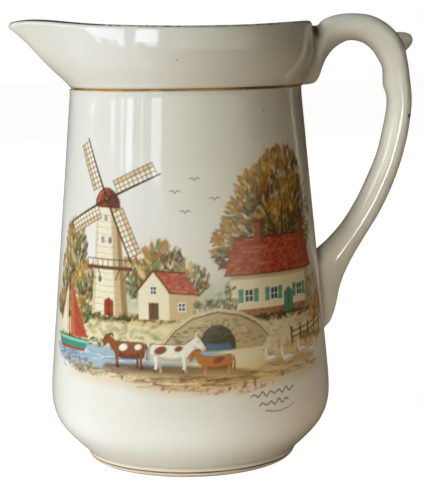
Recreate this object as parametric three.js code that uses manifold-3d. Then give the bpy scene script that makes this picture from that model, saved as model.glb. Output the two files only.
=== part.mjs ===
// A slip-cast earthenware pitcher in millimetres: a tapered body on a low foot ring, a rolled collar drawn
// out to a pouring spout, and a loop handle with a thumb spur. The potter joins the handle to the body with
// slip and fires both as one, so the pitcher is one solid. +Z is up, the body's axis is Z, the foot stands on
// z = 0, the spout points along -X and the handle along +X.
import * as THREE from "three";
import { mergeVertices } from "three/addons/utils/BufferGeometryUtils.js";
import Module from "manifold-3d";

const wasm = await Module();
wasm.setup();

// Body
const NECK_HEIGHT = 161; // the groove between the wall and the collar
const NECK_RADIUS = 49.4;
const BELLY_HEIGHT = 30; // where the body is widest
const BELLY_RADIUS = 60.7;
const WALL = 4.2;
const FLOOR = 5;
const FLOOR_ROUNDING = 11; // how far in from the foot the inside runs out into the flat floor

// Foot
const FOOT_RADIUS = 41.8; // outer edge of the flat standing ring
const FOOT_RING_WIDTH = 3;
const FOOT_HEIGHT = 4.6; // crease above the foot bead
const FOOT_BEAD = 3; // how far the bead stands out from the standing edge
const BASE_RECESS = 1; // the base panel is sunk this far inside the ring

// Collar and lip
const COLLAR_RADIUS = 55.2;
const COLLAR_BULGE_RISE = 16; // from the groove up to where the collar is widest
const COLLAR_TOP_RISE = 9.4; // from there to the crest of the lip at the sides, where the rim is lowest
const GROOVE_DEPTH = 0.5;
const LIP_ROUNDING = 1.9;
const LIP_SETBACK = 0.8; // how far the lip's outer edge lies inside the collar's widest line
const END_RISE = 1.8; // how much higher the rim is at the spout and the handle than at the sides

// Spout
const SPOUT_OVERHANG = 20.3; // how far the lip is drawn out past the collar
const SPOUT_HALF_ANGLE = THREE.MathUtils.degToRad(10);
const SPOUT_RISE = 3.6;
const SPOUT_TIP_DROP = 2.6;

// Handle
const HANDLE_REACH = 100.4; // from the body's axis to the handle's outer edge
const HANDLE_ARCH_RISE = 4.7; // the arch's top above the crest of the lip
const HANDLE_TAIL = 53; // lower end, on the wall
const HANDLE_WIDTH = 12; // side to side, at the grip
const SPUR_LENGTH = 6.8; // how far the thumb spur stands out
const SPUR_WIDTH = 8.2;
const SPUR_SEAT = 1.8; // how deep the spur's root lies in the handle

// Fineness of the facets
const TURNS = 56;
const CURVE_STEPS = 5;
const SPOUT_CROWDING = 0.5; // draws the facets' edges together at the spout
const HANDLE_SIDES = 16;
const HANDLE_STEPS = 46;

const SPOUT_ANGLE = Math.PI;
const BULGE_HEIGHT = NECK_HEIGHT + COLLAR_BULGE_RISE;
const RIM_HEIGHT = BULGE_HEIGHT + COLLAR_TOP_RISE;
const HANDLE_CREST = RIM_HEIGHT + HANDLE_ARCH_RISE;

// The straight wall: it leaves the belly tangent upwards, halfway up a short blend, and runs to the neck.
const BELLY_BLEND = 8;
function wallRadius(z) {
  const start = BELLY_HEIGHT + BELLY_BLEND / 2;
  return BELLY_RADIUS + ((NECK_RADIUS - BELLY_RADIUS) * (z - start)) / (NECK_HEIGHT - start);
}

// Half of the body's section, from the middle of the base outwards, up the outside, over the lip and down
// the inside to the middle of the floor.
function bodySection() {
  const path = new THREE.Path();
  const creaseRadius = FOOT_RADIUS + 1.47 * FOOT_BEAD;
  const undersideRise = BELLY_HEIGHT - FOOT_HEIGHT;
  const flare = BELLY_RADIUS - creaseRadius;
  const blendTop = BELLY_HEIGHT + BELLY_BLEND;
  const ringInner = FOOT_RADIUS - FOOT_RING_WIDTH;

  // Base panel, standing ring and foot bead
  path.moveTo(0, BASE_RECESS);
  path.lineTo(ringInner - BASE_RECESS, BASE_RECESS);
  path.lineTo(ringInner, 0);
  path.lineTo(FOOT_RADIUS, 0);
  const beadRadius = FOOT_RADIUS + FOOT_BEAD;
  path.bezierCurveTo(
    FOOT_RADIUS + 0.53 * FOOT_BEAD, 0.04 * FOOT_HEIGHT,
    beadRadius, 0.45 * FOOT_HEIGHT,
    creaseRadius, FOOT_HEIGHT,
  );

  // Underside, belly and straight wall
  path.bezierCurveTo(
    creaseRadius + 0.57 * flare, FOOT_HEIGHT + 0.33 * undersideRise,
    BELLY_RADIUS, FOOT_HEIGHT + 0.5 * undersideRise,
    BELLY_RADIUS, BELLY_HEIGHT,
  );
  path.quadraticCurveTo(BELLY_RADIUS, BELLY_HEIGHT + BELLY_BLEND / 2, wallRadius(blendTop), blendTop);
  path.lineTo(wallRadius(NECK_HEIGHT - GROOVE_DEPTH), NECK_HEIGHT - GROOVE_DEPTH);
  path.lineTo(NECK_RADIUS - GROOVE_DEPTH, NECK_HEIGHT);
  path.lineTo(NECK_RADIUS, NECK_HEIGHT + GROOVE_DEPTH);

  // Collar
  path.bezierCurveTo(
    NECK_RADIUS + 0.15 * (COLLAR_RADIUS - NECK_RADIUS), NECK_HEIGHT + 0.26 * COLLAR_BULGE_RISE,
    COLLAR_RADIUS, NECK_HEIGHT + 0.5 * COLLAR_BULGE_RISE,
    COLLAR_RADIUS, BULGE_HEIGHT,
  );
  const lipOuter = COLLAR_RADIUS - LIP_SETBACK;
  const lipSpring = RIM_HEIGHT - LIP_ROUNDING;
  path.quadraticCurveTo(COLLAR_RADIUS, (BULGE_HEIGHT + lipSpring) / 2, lipOuter, lipSpring);

  // Lip
  const lipInner = lipOuter - WALL;
  const crest = (lipOuter + lipInner) / 2;
  path.quadraticCurveTo(lipOuter, RIM_HEIGHT, crest, RIM_HEIGHT);
  path.quadraticCurveTo(lipInner, RIM_HEIGHT, lipInner, lipSpring);

  // Inside of the collar and the wall, the wall's thickness in from the outside
  path.quadraticCurveTo(
    COLLAR_RADIUS - WALL, (BULGE_HEIGHT + lipSpring) / 2,
    COLLAR_RADIUS - WALL, BULGE_HEIGHT,
  );
  path.bezierCurveTo(
    COLLAR_RADIUS - WALL, NECK_HEIGHT + 0.5 * COLLAR_BULGE_RISE,
    NECK_RADIUS - WALL, NECK_HEIGHT + 0.4 * COLLAR_BULGE_RISE,
    NECK_RADIUS - WALL, NECK_HEIGHT,
  );
  path.lineTo(wallRadius(blendTop) - WALL, blendTop);
  path.quadraticCurveTo(BELLY_RADIUS - WALL, BELLY_HEIGHT + BELLY_BLEND / 2, BELLY_RADIUS - WALL, BELLY_HEIGHT);

  // Inside of the belly, rounded into the floor
  const floorTop = BASE_RECESS + FLOOR;
  path.bezierCurveTo(
    BELLY_RADIUS - WALL, floorTop + 0.58 * (BELLY_HEIGHT - floorTop),
    FOOT_RADIUS + 0.55 * (BELLY_RADIUS - WALL - FOOT_RADIUS), floorTop + 0.73 * FLOOR_ROUNDING,
    FOOT_RADIUS, floorTop + 0.25 * FLOOR_ROUNDING,
  );
  path.quadraticCurveTo(
    FOOT_RADIUS - 0.45 * FLOOR_ROUNDING, floorTop,
    FOOT_RADIUS - FLOOR_ROUNDING, floorTop,
  );
  path.lineTo(0, floorTop);
  return path.getPoints(CURVE_STEPS);
}

// A section turned about Z, as merged triangles with no slivers at the axis. The edges of the facets crowd
// towards the spout.
function turned(points) {
  const lathe = new THREE.LatheGeometry(points, TURNS).rotateX(Math.PI / 2);
  const geometry = welded(lathe);
  const position = geometry.getAttribute("position");
  for (let i = 0; i < position.count; i++) {
    const x = position.getX(i);
    const y = position.getY(i);
    const radius = Math.hypot(x, y);
    const away = Math.atan2(y, x);
    const angle = SPOUT_ANGLE + away - SPOUT_CROWDING * Math.sin(away);
    position.setXY(i, radius * Math.cos(angle), radius * Math.sin(angle));
  }
  return geometry;
}

// Draws the collar out to the spout and lifts the rim: each point above the neck moves outwards and up, more
// towards the lip, and fading quickly to either side of the spout.
function drawSpout(geometry) {
  const sech = (x) => 1 / Math.cosh(x);
  const position = geometry.getAttribute("position");
  for (let i = 0; i < position.count; i++) {
    const x = position.getX(i);
    const y = position.getY(i);
    const z = position.getZ(i);
    const share = THREE.MathUtils.clamp((z - NECK_HEIGHT) / (RIM_HEIGHT - NECK_HEIGHT), 0, 1);
    const away = Math.atan2(-y, -x);
    const beak = sech(away / SPOUT_HALF_ANGLE);
    const radius = Math.hypot(x, y);
    const drawn = THREE.MathUtils.clamp((z - NECK_HEIGHT) / (RIM_HEIGHT - LIP_ROUNDING - NECK_HEIGHT), 0, 1);
    const reach = radius + SPOUT_OVERHANG * (0.5 * drawn + 0.5 * drawn ** 3) * beak;
    const stretch = radius > 0 ? reach / radius : 1;
    const rise =
      END_RISE * Math.cos(away) ** 2 +
      SPOUT_RISE * sech(away / (1.2 * SPOUT_HALF_ANGLE)) -
      SPOUT_TIP_DROP * sech(away / (0.5 * SPOUT_HALF_ANGLE));
    position.setXYZ(i, x * stretch, y * stretch, z + rise * share ** 2);
  }
  return geometry;
}

// The hollow to half the wall's depth and past the rim: what trims the handle's upper root.
function hollowSection() {
  const inset = WALL / 2;
  const bottom = NECK_HEIGHT - COLLAR_BULGE_RISE;
  const top = HANDLE_CREST + 4 * SPOUT_RISE;
  const lipMiddle = COLLAR_RADIUS - LIP_SETBACK - inset;
  return [
    new THREE.Vector2(0, bottom),
    new THREE.Vector2(wallRadius(bottom) - inset, bottom),
    new THREE.Vector2(NECK_RADIUS - inset, NECK_HEIGHT),
    new THREE.Vector2(COLLAR_RADIUS - 2 * LIP_SETBACK - inset, NECK_HEIGHT + 0.6 * COLLAR_BULGE_RISE),
    new THREE.Vector2(COLLAR_RADIUS - inset, BULGE_HEIGHT),
    new THREE.Vector2(lipMiddle, RIM_HEIGHT),
    new THREE.Vector2(lipMiddle, top),
    new THREE.Vector2(0, top),
  ];
}

// A point of the handle's outline on the upright plane through the spout and the handle: out is 0 at the
// line of the wall and 1 at the handle's reach, and up is 0 at its tail and 1 at its crest.
function outlinePoint([out, up]) {
  const z = HANDLE_TAIL + up * (HANDLE_CREST - HANDLE_TAIL);
  const wall = wallRadius(z);
  return new THREE.Vector3(wall + out * (HANDLE_REACH - wall), 0, z);
}

// Stations along the handle, from the collar over the arch to the tail: a point of the outer edge, a point of
// the inner edge, and the width as a share of the grip's. The first and the last lie inside the wall.
const HANDLE_STATIONS = [
  { outer: [0.05, 0.961], inner: [-0.02, 0.78], width: 1.65 },
  { outer: [0.188, 0.964], inner: [0.134, 0.784], width: 1.55 },
  { outer: [0.235, 0.978], inner: [0.202, 0.824], width: 1.42 },
  { outer: [0.303, 0.99], inner: [0.251, 0.857], width: 1.28 },
  { outer: [0.396, 0.998], inner: [0.339, 0.893], width: 1.18 },
  { outer: [0.51, 1.0], inner: [0.455, 0.915], width: 1.14 },
  { outer: [0.636, 0.994], inner: [0.57, 0.909], width: 1.14 },
  { outer: [0.748, 0.975], inner: [0.655, 0.888], width: 1.13 },
  { outer: [0.845, 0.947], inner: [0.71, 0.862], width: 1.11 },
  { outer: [0.924, 0.903], inner: [0.742, 0.831], width: 1.08 },
  { outer: [0.963, 0.845], inner: [0.743, 0.802], width: 1.06 },
  { outer: [0.986, 0.789], inner: [0.753, 0.77], width: 1.04 },
  { outer: [1.0, 0.737], inner: [0.782, 0.737], width: 1.01 },
  { outer: [0.994, 0.685], inner: [0.776, 0.695], width: 0.98 },
  { outer: [0.959, 0.607], inner: [0.736, 0.629], width: 0.97 },
  { outer: [0.893, 0.524], inner: [0.677, 0.553], width: 0.97 },
  { outer: [0.799, 0.442], inner: [0.582, 0.475], width: 0.98 },
  { outer: [0.675, 0.365], inner: [0.469, 0.404], width: 1.0 },
  { outer: [0.53, 0.292], inner: [0.318, 0.336], width: 1.06 },
  { outer: [0.411, 0.235], inner: [0.151, 0.284], width: 1.17 },
  { outer: [0.316, 0.183], inner: [0.006, 0.243], width: 1.24 },
  { outer: [0.241, 0.134], inner: [-0.045, 0.16], width: 1.22 },
  { outer: [0.19, 0.08], inner: [-0.073, 0.094], width: 1.1 },
  { outer: [0.143, 0.042], inner: [-0.073, 0.047], width: 0.94 },
  { outer: [0.098, 0.019], inner: [-0.069, 0.02], width: 0.72 },
  { outer: [0.034, 0.002], inner: [-0.067, 0.003], width: 0.46 },
];

function handleEdges() {
  return {
    outer: new THREE.CatmullRomCurve3(HANDLE_STATIONS.map((s) => outlinePoint(s.outer))),
    inner: new THREE.CatmullRomCurve3(HANDLE_STATIONS.map((s) => outlinePoint(s.inner))),
    width: new THREE.CatmullRomCurve3(HANDLE_STATIONS.map((s) => new THREE.Vector3(s.width, 0, 0))),
  };
}

// A cylinder bent so that it fills the space between an outer and an inner edge, with an oval section.
function handleGeometry() {
  const { outer, inner, width } = handleEdges();
  const rod = welded(new THREE.CylinderGeometry(1, 1, 1, HANDLE_SIDES, HANDLE_STEPS));
  const position = rod.getAttribute("position");
  for (let i = 0; i < position.count; i++) {
    const along = 0.5 - position.getY(i);
    const near = inner.getPoint(along);
    const far = outer.getPoint(along);
    const middle = near.clone().add(far).multiplyScalar(0.5);
    const halfDepth = far.sub(near).multiplyScalar(0.5);
    const halfWidth = (width.getPoint(along).x * HANDLE_WIDTH) / 2;
    const point = middle.addScaledVector(halfDepth, position.getX(i));
    position.setXYZ(i, point.x, -halfWidth * position.getZ(i), point.z);
  }
  return rod;
}

// The thumb spur: a blunt fin on the outer corner of the handle, pinched from its root to its tip.
const SPUR_PLACE = 0.36; // along the handle's outer edge, as a share of its stations
const SPUR_PITCH = THREE.MathUtils.degToRad(26);
const SPUR_STAGES = [
  { out: -0.7, depth: 1.2, width: 1.1 },
  { out: -0.1, depth: 1.12, width: 0.98 },
  { out: 0.3, depth: 0.95, width: 0.78 },
  { out: 0.66, depth: 0.62, width: 0.56 },
  { out: 0.9, depth: 0.34, width: 0.38 },
  { out: 1, depth: 0.12, width: 0.16 },
];
const SPUR_SIDES = 12;

function spurGeometry() {
  const root = handleEdges().outer.getPoint(SPUR_PLACE);
  const outwards = new THREE.Vector3(Math.cos(SPUR_PITCH), 0, Math.sin(SPUR_PITCH));
  const upwards = new THREE.Vector3(-Math.sin(SPUR_PITCH), 0, Math.cos(SPUR_PITCH));
  root.addScaledVector(outwards, -SPUR_SEAT).addScaledVector(upwards, SPUR_SEAT / 2);
  const rod = welded(new THREE.CylinderGeometry(1, 1, 1, SPUR_SIDES, SPUR_STAGES.length - 1));
  const position = rod.getAttribute("position");
  for (let i = 0; i < position.count; i++) {
    const stage = SPUR_STAGES[Math.round((position.getY(i) + 0.5) * (SPUR_STAGES.length - 1))];
    const point = root
      .clone()
      .addScaledVector(outwards, stage.out * SPUR_LENGTH)
      .addScaledVector(upwards, (-position.getX(i) * stage.depth * SPUR_WIDTH) / 2);
    position.setXYZ(i, point.x, (-position.getZ(i) * stage.width * SPUR_WIDTH) / 2, point.z);
  }
  return rod;
}

// A geometry with only its positions, shared vertices merged and empty triangles dropped.
function welded(source) {
  const bare = source.clone();
  bare.deleteAttribute("normal");
  bare.deleteAttribute("uv");
  const merged = mergeVertices(bare, 1e-4);
  const index = merged.index.array;
  const kept = [];
  for (let i = 0; i < index.length; i += 3) {
    const [a, b, c] = [index[i], index[i + 1], index[i + 2]];
    if (a !== b && b !== c && c !== a) kept.push(a, b, c);
  }
  merged.setIndex(kept);
  return merged;
}

function solidFrom(geometry) {
  const vertProperties = new Float32Array(geometry.getAttribute("position").array);
  const triVerts = new Uint32Array(geometry.index.array);
  return new wasm.Manifold(new wasm.Mesh({ numProp: 3, vertProperties, triVerts }));
}

function geometryFrom(solid) {
  const { vertProperties, triVerts } = solid.getMesh();
  const geometry = new THREE.BufferGeometry();
  geometry.setAttribute("position", new THREE.BufferAttribute(vertProperties, 3));
  geometry.setIndex(new THREE.BufferAttribute(triVerts, 1));
  geometry.computeVertexNormals();
  return geometry;
}

function pitcherGeometry() {
  const vessel = solidFrom(drawSpout(turned(bodySection())));
  const hollow = solidFrom(drawSpout(turned(hollowSection())));
  const handle = solidFrom(handleGeometry()).subtract(hollow);
  return geometryFrom(vessel.add(handle).add(solidFrom(spurGeometry())));
}

const glaze = new THREE.MeshStandardMaterial({ color: 0xe9e4d2, roughness: 0.12, metalness: 0 });
const pitcher = new THREE.Mesh(pitcherGeometry(), glaze);
pitcher.name = "pitcher";

const part = new THREE.Group();
part.add(pitcher);

export default part;
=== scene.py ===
import math

import bmesh
import bpy
import numpy as np
from mathutils import Matrix, Vector
from mathutils.geometry import interpolate_bezier


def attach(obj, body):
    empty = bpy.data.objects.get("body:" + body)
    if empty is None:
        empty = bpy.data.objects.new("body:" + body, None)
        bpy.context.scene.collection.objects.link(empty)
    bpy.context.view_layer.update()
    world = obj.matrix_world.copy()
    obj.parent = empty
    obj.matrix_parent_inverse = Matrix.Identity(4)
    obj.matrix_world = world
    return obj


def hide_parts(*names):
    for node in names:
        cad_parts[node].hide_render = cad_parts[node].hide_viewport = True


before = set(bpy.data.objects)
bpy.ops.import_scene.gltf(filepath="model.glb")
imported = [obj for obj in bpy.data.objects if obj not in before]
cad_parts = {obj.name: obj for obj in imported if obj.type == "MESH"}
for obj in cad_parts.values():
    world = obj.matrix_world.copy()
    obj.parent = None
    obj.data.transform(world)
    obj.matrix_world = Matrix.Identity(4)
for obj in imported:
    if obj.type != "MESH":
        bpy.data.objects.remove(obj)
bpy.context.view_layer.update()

# The pitcher's body. A slip-cast earthenware vessel: foot ring with a rounded bead, belly, straight wall, a
# fine groove, and a bulging collar with a rounded lip. It is a section turned about Z, in millimetres, and
# the spout is then drawn out of the soft collar.
WALL = 4.2
BELLY_RADIUS, BELLY_HEIGHT = 60.7, 30
NECK_RADIUS, NECK_HEIGHT = 49.4, 161
COLLAR_RADIUS, BULGE_HEIGHT = 55.2, 177
RIM_HEIGHT, LIP_ROUNDING, LIP_SETBACK = 186.4, 1.9, 0.8
WALL_START = 34
WALL_BOTTOM = 38
FLARE_START = 157.4
COLUMNS = 96


def wall_radius(z):
    """The straight wall's outer radius at a height."""
    return BELLY_RADIUS + (NECK_RADIUS - BELLY_RADIUS) * (z - WALL_START) / (NECK_HEIGHT - WALL_START)


def bend(start, first, second, end, steps):
    """Points along a cubic curve of the section, its start left out."""
    knots = [Vector(p) for p in (start, first, second, end)]
    return [tuple(p) for p in interpolate_bezier(*knots, steps + 1)][1:]


def bow(start, corner, end, steps):
    """Points along a plain bow towards a corner, its start left out."""
    corner = Vector(corner)
    return bend(start, Vector(start).lerp(corner, 2 / 3), Vector(end).lerp(corner, 2 / 3), end, steps)


lip_outer = COLLAR_RADIUS - LIP_SETBACK
lip_inner = lip_outer - WALL
lip_spring = RIM_HEIGHT - LIP_ROUNDING
lip_crest = (lip_outer + lip_inner) / 2
lip_side = (BULGE_HEIGHT + lip_spring) / 2

foot = [(0, 1), (14, 1), (28, 1), (37.4, 1), (38.3, 0.75), (38.9, 0.2), (39.5, 0), (41.2, 0), (41.8, 0.08)]
foot += [(43.0, 0.5), (44.0, 1.1), (44.8, 1.9), (45.35, 2.8), (45.7, 3.7), (45.9, 4.4), (46.3, 4.9)]
underside = bend((46.3, 4.9), (54.5, 13), (BELLY_RADIUS, 17.3), (BELLY_RADIUS, BELLY_HEIGHT), 12)
underside += bow(underside[-1], (BELLY_RADIUS, WALL_START), (wall_radius(WALL_BOTTOM), WALL_BOTTOM), 2)
wall = [(wall_radius(z), z) for z in np.linspace(WALL_BOTTOM, FLARE_START, 33)[1:]]
wall += [(wall_radius(z) + 0.3 * ((z - FLARE_START) / 3) ** 2, z) for z in (158.4, 159.3, 159.9, 160.4)]
groove = [(49.2, 160.6), (48.95, 160.85), (48.9, 161.1), (49.05, 161.4), (49.4, 161.65)]
collar = bend(groove[-1], (50.3, 165.2), (COLLAR_RADIUS, 169), (COLLAR_RADIUS, BULGE_HEIGHT), 12)
collar += bow(collar[-1], (COLLAR_RADIUS, lip_side), (lip_outer, lip_spring), 4)
lip = bow(collar[-1], (lip_outer, RIM_HEIGHT), (lip_crest, RIM_HEIGHT), 5)
lip_back = bow(lip[-1], (lip_inner, RIM_HEIGHT), (lip_inner, lip_spring), 5)
inside = bow(lip_back[-1], (COLLAR_RADIUS - WALL, lip_side), (COLLAR_RADIUS - WALL, BULGE_HEIGHT), 4)
inside += bend(inside[-1], (COLLAR_RADIUS - WALL, 169), (NECK_RADIUS - WALL, 167.4),
               (NECK_RADIUS - WALL, 161), 8)
inside += [(wall_radius(z) - WALL, z) for z in np.linspace(161, WALL_BOTTOM, 12)[1:]]
inside += bow(inside[-1], (BELLY_RADIUS - WALL, WALL_START), (BELLY_RADIUS - WALL, BELLY_HEIGHT), 2)
inside += bend(inside[-1], (BELLY_RADIUS - WALL, 19.9), (49.9, 14), (41.8, 8.75), 8)
inside += bow(inside[-1], (36.9, 6), (30.8, 6), 4) + [(16, 6), (0, 6)]
outside = foot + underside + wall + groove + collar + lip
section = np.array(outside + lip_back + inside)
outer_section = np.array(foot[8:] + underside + wall + groove + collar)

body = bmesh.new()
row = [body.verts.new((r, 0, z)) for r, z in section]
edges = [body.edges.new(pair) for pair in zip(row, row[1:])]
bmesh.ops.spin(
    body, geom=row + edges, cent=(0, 0, 0), axis=(0, 0, 1), angle=math.tau, steps=COLUMNS, use_merge=True
)
bmesh.ops.remove_doubles(body, verts=body.verts, dist=1e-4)

# The radius of each point is kept while faces are divided, so that new points can be moved out to the round.
true_radius = body.verts.layers.float.new("radius")
for v in body.verts:
    v[true_radius] = math.hypot(v.co.x, v.co.y)


def divide(mesh, wanted, cuts):
    """Divides the edges that are wanted, and moves the new points out to the round."""
    chosen = [e for e in mesh.edges if wanted(*e.verts)]
    bmesh.ops.subdivide_edges(mesh, edges=chosen, cuts=cuts, use_grid_fill=True)
    radius = mesh.verts.layers.float["radius"]
    for v in mesh.verts:
        flat = math.hypot(v.co.x, v.co.y)
        if flat > 1:
            v.co.x *= v[radius] / flat
            v.co.y *= v[radius] / flat


def from_spout(v):
    return abs(math.atan2(v.co.y, -v.co.x))


def from_handle(v):
    return abs(math.atan2(v.co.y, v.co.x))


SPOUT_SPREAD = math.radians(30)
HANDLE_SPREAD = math.radians(17)


def level_at_spout(a, b):
    near = max(from_spout(a), from_spout(b)) < SPOUT_SPREAD
    return near and abs(a.co.z - b.co.z) < 1e-3 and a.co.z > NECK_HEIGHT - 0.2


def by_handle(a, b):
    """Whether an edge is on the outside, where an end of the handle is joined to it."""
    for v in (a, b):
        at_root = 156 < v.co.z < RIM_HEIGHT or 48 < v.co.z < 102
        is_inside = math.hypot(v.co.x, v.co.y) < outer_radius(v.co.z) - 1
        if from_handle(v) > HANDLE_SPREAD or not at_root or is_inside:
            return False
    return True


def outer_radius(z):
    """The outer radius at a height, spout left out."""
    return np.interp(z, outer_section[:, 1], outer_section[:, 0])


divide(body, level_at_spout, 2)
divide(body, by_handle, 3)

SPOUT_OVERHANG = 20.3
SPOUT_HALF_ANGLE = math.radians(10)
SPOUT_RISE, SPOUT_TIP_DROP = 3.6, 2.6
END_RISE = 1.8


def rim_rise(away):
    """How much higher the rim is than at the jug's sides, at an angle from the spout."""
    wide = SPOUT_RISE / np.cosh(away / (1.2 * SPOUT_HALF_ANGLE))
    tip = SPOUT_TIP_DROP / np.cosh(away / (0.5 * SPOUT_HALF_ANGLE))
    return END_RISE * np.cos(away) ** 2 + wide - tip


def spout_reach(away, z):
    """How far the wall at a height is drawn out towards the spout."""
    drawn = np.clip((z - NECK_HEIGHT) / (lip_spring - NECK_HEIGHT), 0, 1)
    return SPOUT_OVERHANG * (0.5 * drawn + 0.5 * drawn**3) / np.cosh(away / SPOUT_HALF_ANGLE)


def rim_share(z):
    return np.clip((z - NECK_HEIGHT) / (RIM_HEIGHT - NECK_HEIGHT), 0, 1) ** 2


for v in body.verts:
    away = math.atan2(-v.co.y, -v.co.x)
    flat = math.hypot(v.co.x, v.co.y)
    if flat > 1:
        stretch = (flat + spout_reach(away, v.co.z)) / flat
        v.co.x *= stretch
        v.co.y *= stretch
    v.co.z += rim_rise(away) * rim_share(v.co.z)

# The handle. A cast loop of oval section, broad where it is luted to the collar, with a knuckle inside the
# grip and a tail that dies into the wall. Stations give its outer and inner edge and its half width, in
# millimetres; the first and last lie in the wall.
STATIONS = [
    ((52.2, 185.8), (48.4, 160.7), 9.9),
    ((58.4, 186.2), (56.3, 161.3), 9.3),
    ((60.6, 188.1), (59.2, 166.9), 8.5),
    ((63.7, 189.7), (61.3, 171.4), 7.7),
    ((68.6, 190.8), (65.7, 176.4), 7.1),
    ((74.7, 191.1), (71.9, 179.4), 6.8),
    ((81.5, 190.3), (78.0, 178.6), 6.8),
    ((87.4, 187.7), (82.5, 175.7), 6.8),
    ((92.4, 183.8), (85.2, 172.1), 6.7),
    ((96.6, 177.7), (87.6, 167.6), 6.5),
    ((98.6, 169.7), (87.9, 163.8), 6.4),
    ((99.7, 162.0), (88.1, 159.4), 6.2),
    ((100.4, 154.8), (89.6, 154.8), 6.1),
    ((100.1, 147.6), (89.4, 149.0), 5.9),
    ((98.4, 136.9), (87.6, 139.9), 5.8),
    ((95.3, 125.4), (84.8, 129.4), 5.8),
    ((90.9, 114.1), (80.1, 118.6), 5.9),
    ((85.4, 103.4), (75.1, 108.8), 6.0),
    ((78.9, 93.4), (68.9, 99.4), 6.4),
    ((73.9, 85.5), (62.2, 92.2), 7.0),
    ((70.1, 78.3), (56.6, 86.6), 7.4),
    ((67.4, 71.5), (54.8, 75.1), 7.3),
    ((65.8, 64.1), (54.4, 66.0), 6.6),
    ((64.2, 58.8), (54.9, 59.5), 5.6),
    ((62.7, 55.6), (55.5, 55.8), 4.3),
    ((60.4, 53.3), (56.2, 53.5), 2.8),
]
HANDLE_RINGS = 150
HANDLE_SIDES = 28
SQUARENESS = 0.86
FILLET = 2.4


def smooth_path(knots, places):
    """A smooth curve through knots, at places counted in knots."""
    knots = np.array(knots, float)
    before = np.clip(np.floor(places).astype(int), 0, len(knots) - 2)
    t = (places - before)[:, None]
    p = [knots[np.clip(before + k, 0, len(knots) - 1)] for k in (-1, 0, 1, 2)]
    slope_a, slope_b = (p[2] - p[0]) / 2, (p[3] - p[1]) / 2
    return (
        (2 * t**3 - 3 * t**2 + 1) * p[1]
        + (t**3 - 2 * t**2 + t) * slope_a
        + (3 * t**2 - 2 * t**3) * p[2]
        + (t**3 - t**2) * slope_b
    )


def rod(sides, rings):
    """A closed upright rod of radius and height 1 about Z, in rings."""
    mesh = bmesh.new()
    bmesh.ops.create_cone(mesh, cap_ends=True, segments=sides, radius1=1, radius2=1, depth=1)
    upright = [e for e in mesh.edges if abs(e.verts[0].co.z - e.verts[1].co.z) > 0.5]
    bmesh.ops.subdivide_edges(mesh, edges=upright, cuts=rings)
    return mesh


handle = rod(HANDLE_SIDES, HANDLE_RINGS)
handle.verts.ensure_lookup_table()
at = np.array([v.co for v in handle.verts])
places = (0.5 - at[:, 2]) * (len(STATIONS) - 1)
outer_edge = smooth_path([s[0] for s in STATIONS], places)
inner_edge = smooth_path([s[1] for s in STATIONS], places)
half_width = smooth_path([(s[2],) for s in STATIONS], places)[:, 0]
around_out = np.sign(at[:, 0]) * np.abs(at[:, 0]) ** SQUARENESS
around_side = np.sign(at[:, 1]) * np.abs(at[:, 1]) ** SQUARENESS
middle = (outer_edge + inner_edge) / 2
across = (outer_edge - inner_edge) / 2
spots = np.stack(
    [middle[:, 0] + across[:, 0] * around_out, -half_width * around_side,
     middle[:, 1] + across[:, 1] * around_out],
    axis=1,
)
# Near the body the handle spreads, as the wet slip was smoothed into a fillet.
gap = np.hypot(spots[:, 0], spots[:, 1]) - outer_radius(spots[:, 2])
spread = 0.9 * FILLET * np.clip(1 - gap / FILLET, 0, 1) ** 2
from_middle = spots - np.stack([middle[:, 0], 0 * half_width, middle[:, 1]], axis=1)
from_middle[:, 0] *= 0.2
length = np.maximum(np.linalg.norm(from_middle, axis=1), 1e-6)
spots += from_middle / length[:, None] * spread[:, None] * (length > 0.5)[:, None]
# What is buried stops in the middle of the wall.
flat = np.hypot(spots[:, 0], spots[:, 1])
buried = np.maximum(outer_radius(np.minimum(spots[:, 2], lip_spring)) - WALL / 2, flat) / flat
spots[:, :2] *= buried[:, None]
for v, spot in zip(handle.verts, spots):
    v.co = spot
bmesh.ops.recalc_face_normals(handle, faces=handle.faces)

# The thumb spur on the handle's outer corner: a blunt fin, broad at its root and pinched to a rounded tip.
SPUR_PLACE = 9
SPUR_PITCH = math.radians(20)
SPUR_LENGTH, SPUR_WIDTH, SPUR_SEAT = 6.8, 8.2, 1.8
SPUR_STAGES = np.array([
    (-0.8, 0.0, 0.0), (-0.7, 1.3, 1.0), (-0.1, 1.26, 0.9), (0.3, 1.08, 0.68), (0.66, 0.8, 0.5),
    (0.86, 0.56, 0.36), (0.96, 0.34, 0.24), (1.0, 0.0, 0.0),
])
spur = rod(20, 14)
root = smooth_path([s[0] for s in STATIONS], np.array([float(SPUR_PLACE)]))[0]
outwards = np.array([math.cos(SPUR_PITCH), 0, math.sin(SPUR_PITCH)])
upwards = np.array([-math.sin(SPUR_PITCH), 0, math.cos(SPUR_PITCH)])
seat = np.array([root[0], 0, root[1]]) - SPUR_SEAT * outwards + SPUR_SEAT / 2 * upwards
for v in spur.verts:
    stage = (v.co.z + 0.5) * (len(SPUR_STAGES) - 1)
    out, depth, width = (np.interp(stage, range(len(SPUR_STAGES)), column) for column in SPUR_STAGES.T)
    side = -v.co.y * width * SPUR_WIDTH / 2
    v.co = seat + out * SPUR_LENGTH * outwards - v.co.x * depth * SPUR_WIDTH / 2 * upwards + [0, side, 0]
bmesh.ops.remove_doubles(spur, verts=spur.verts, dist=1e-3)
bmesh.ops.recalc_face_normals(spur, faces=spur.faces)


# Body, handle and spur are luted together with slip and fired as one piece.
def placed(mesh, name):
    """An object of a bmesh that was drawn in millimetres."""
    bmesh.ops.scale(mesh, vec=(0.001, 0.001, 0.001), verts=mesh.verts)
    data = bpy.data.meshes.new(name)
    mesh.to_mesh(data)
    mesh.free()
    result = bpy.data.objects.new(name, data)
    bpy.context.scene.collection.objects.link(result)
    return result


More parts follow.
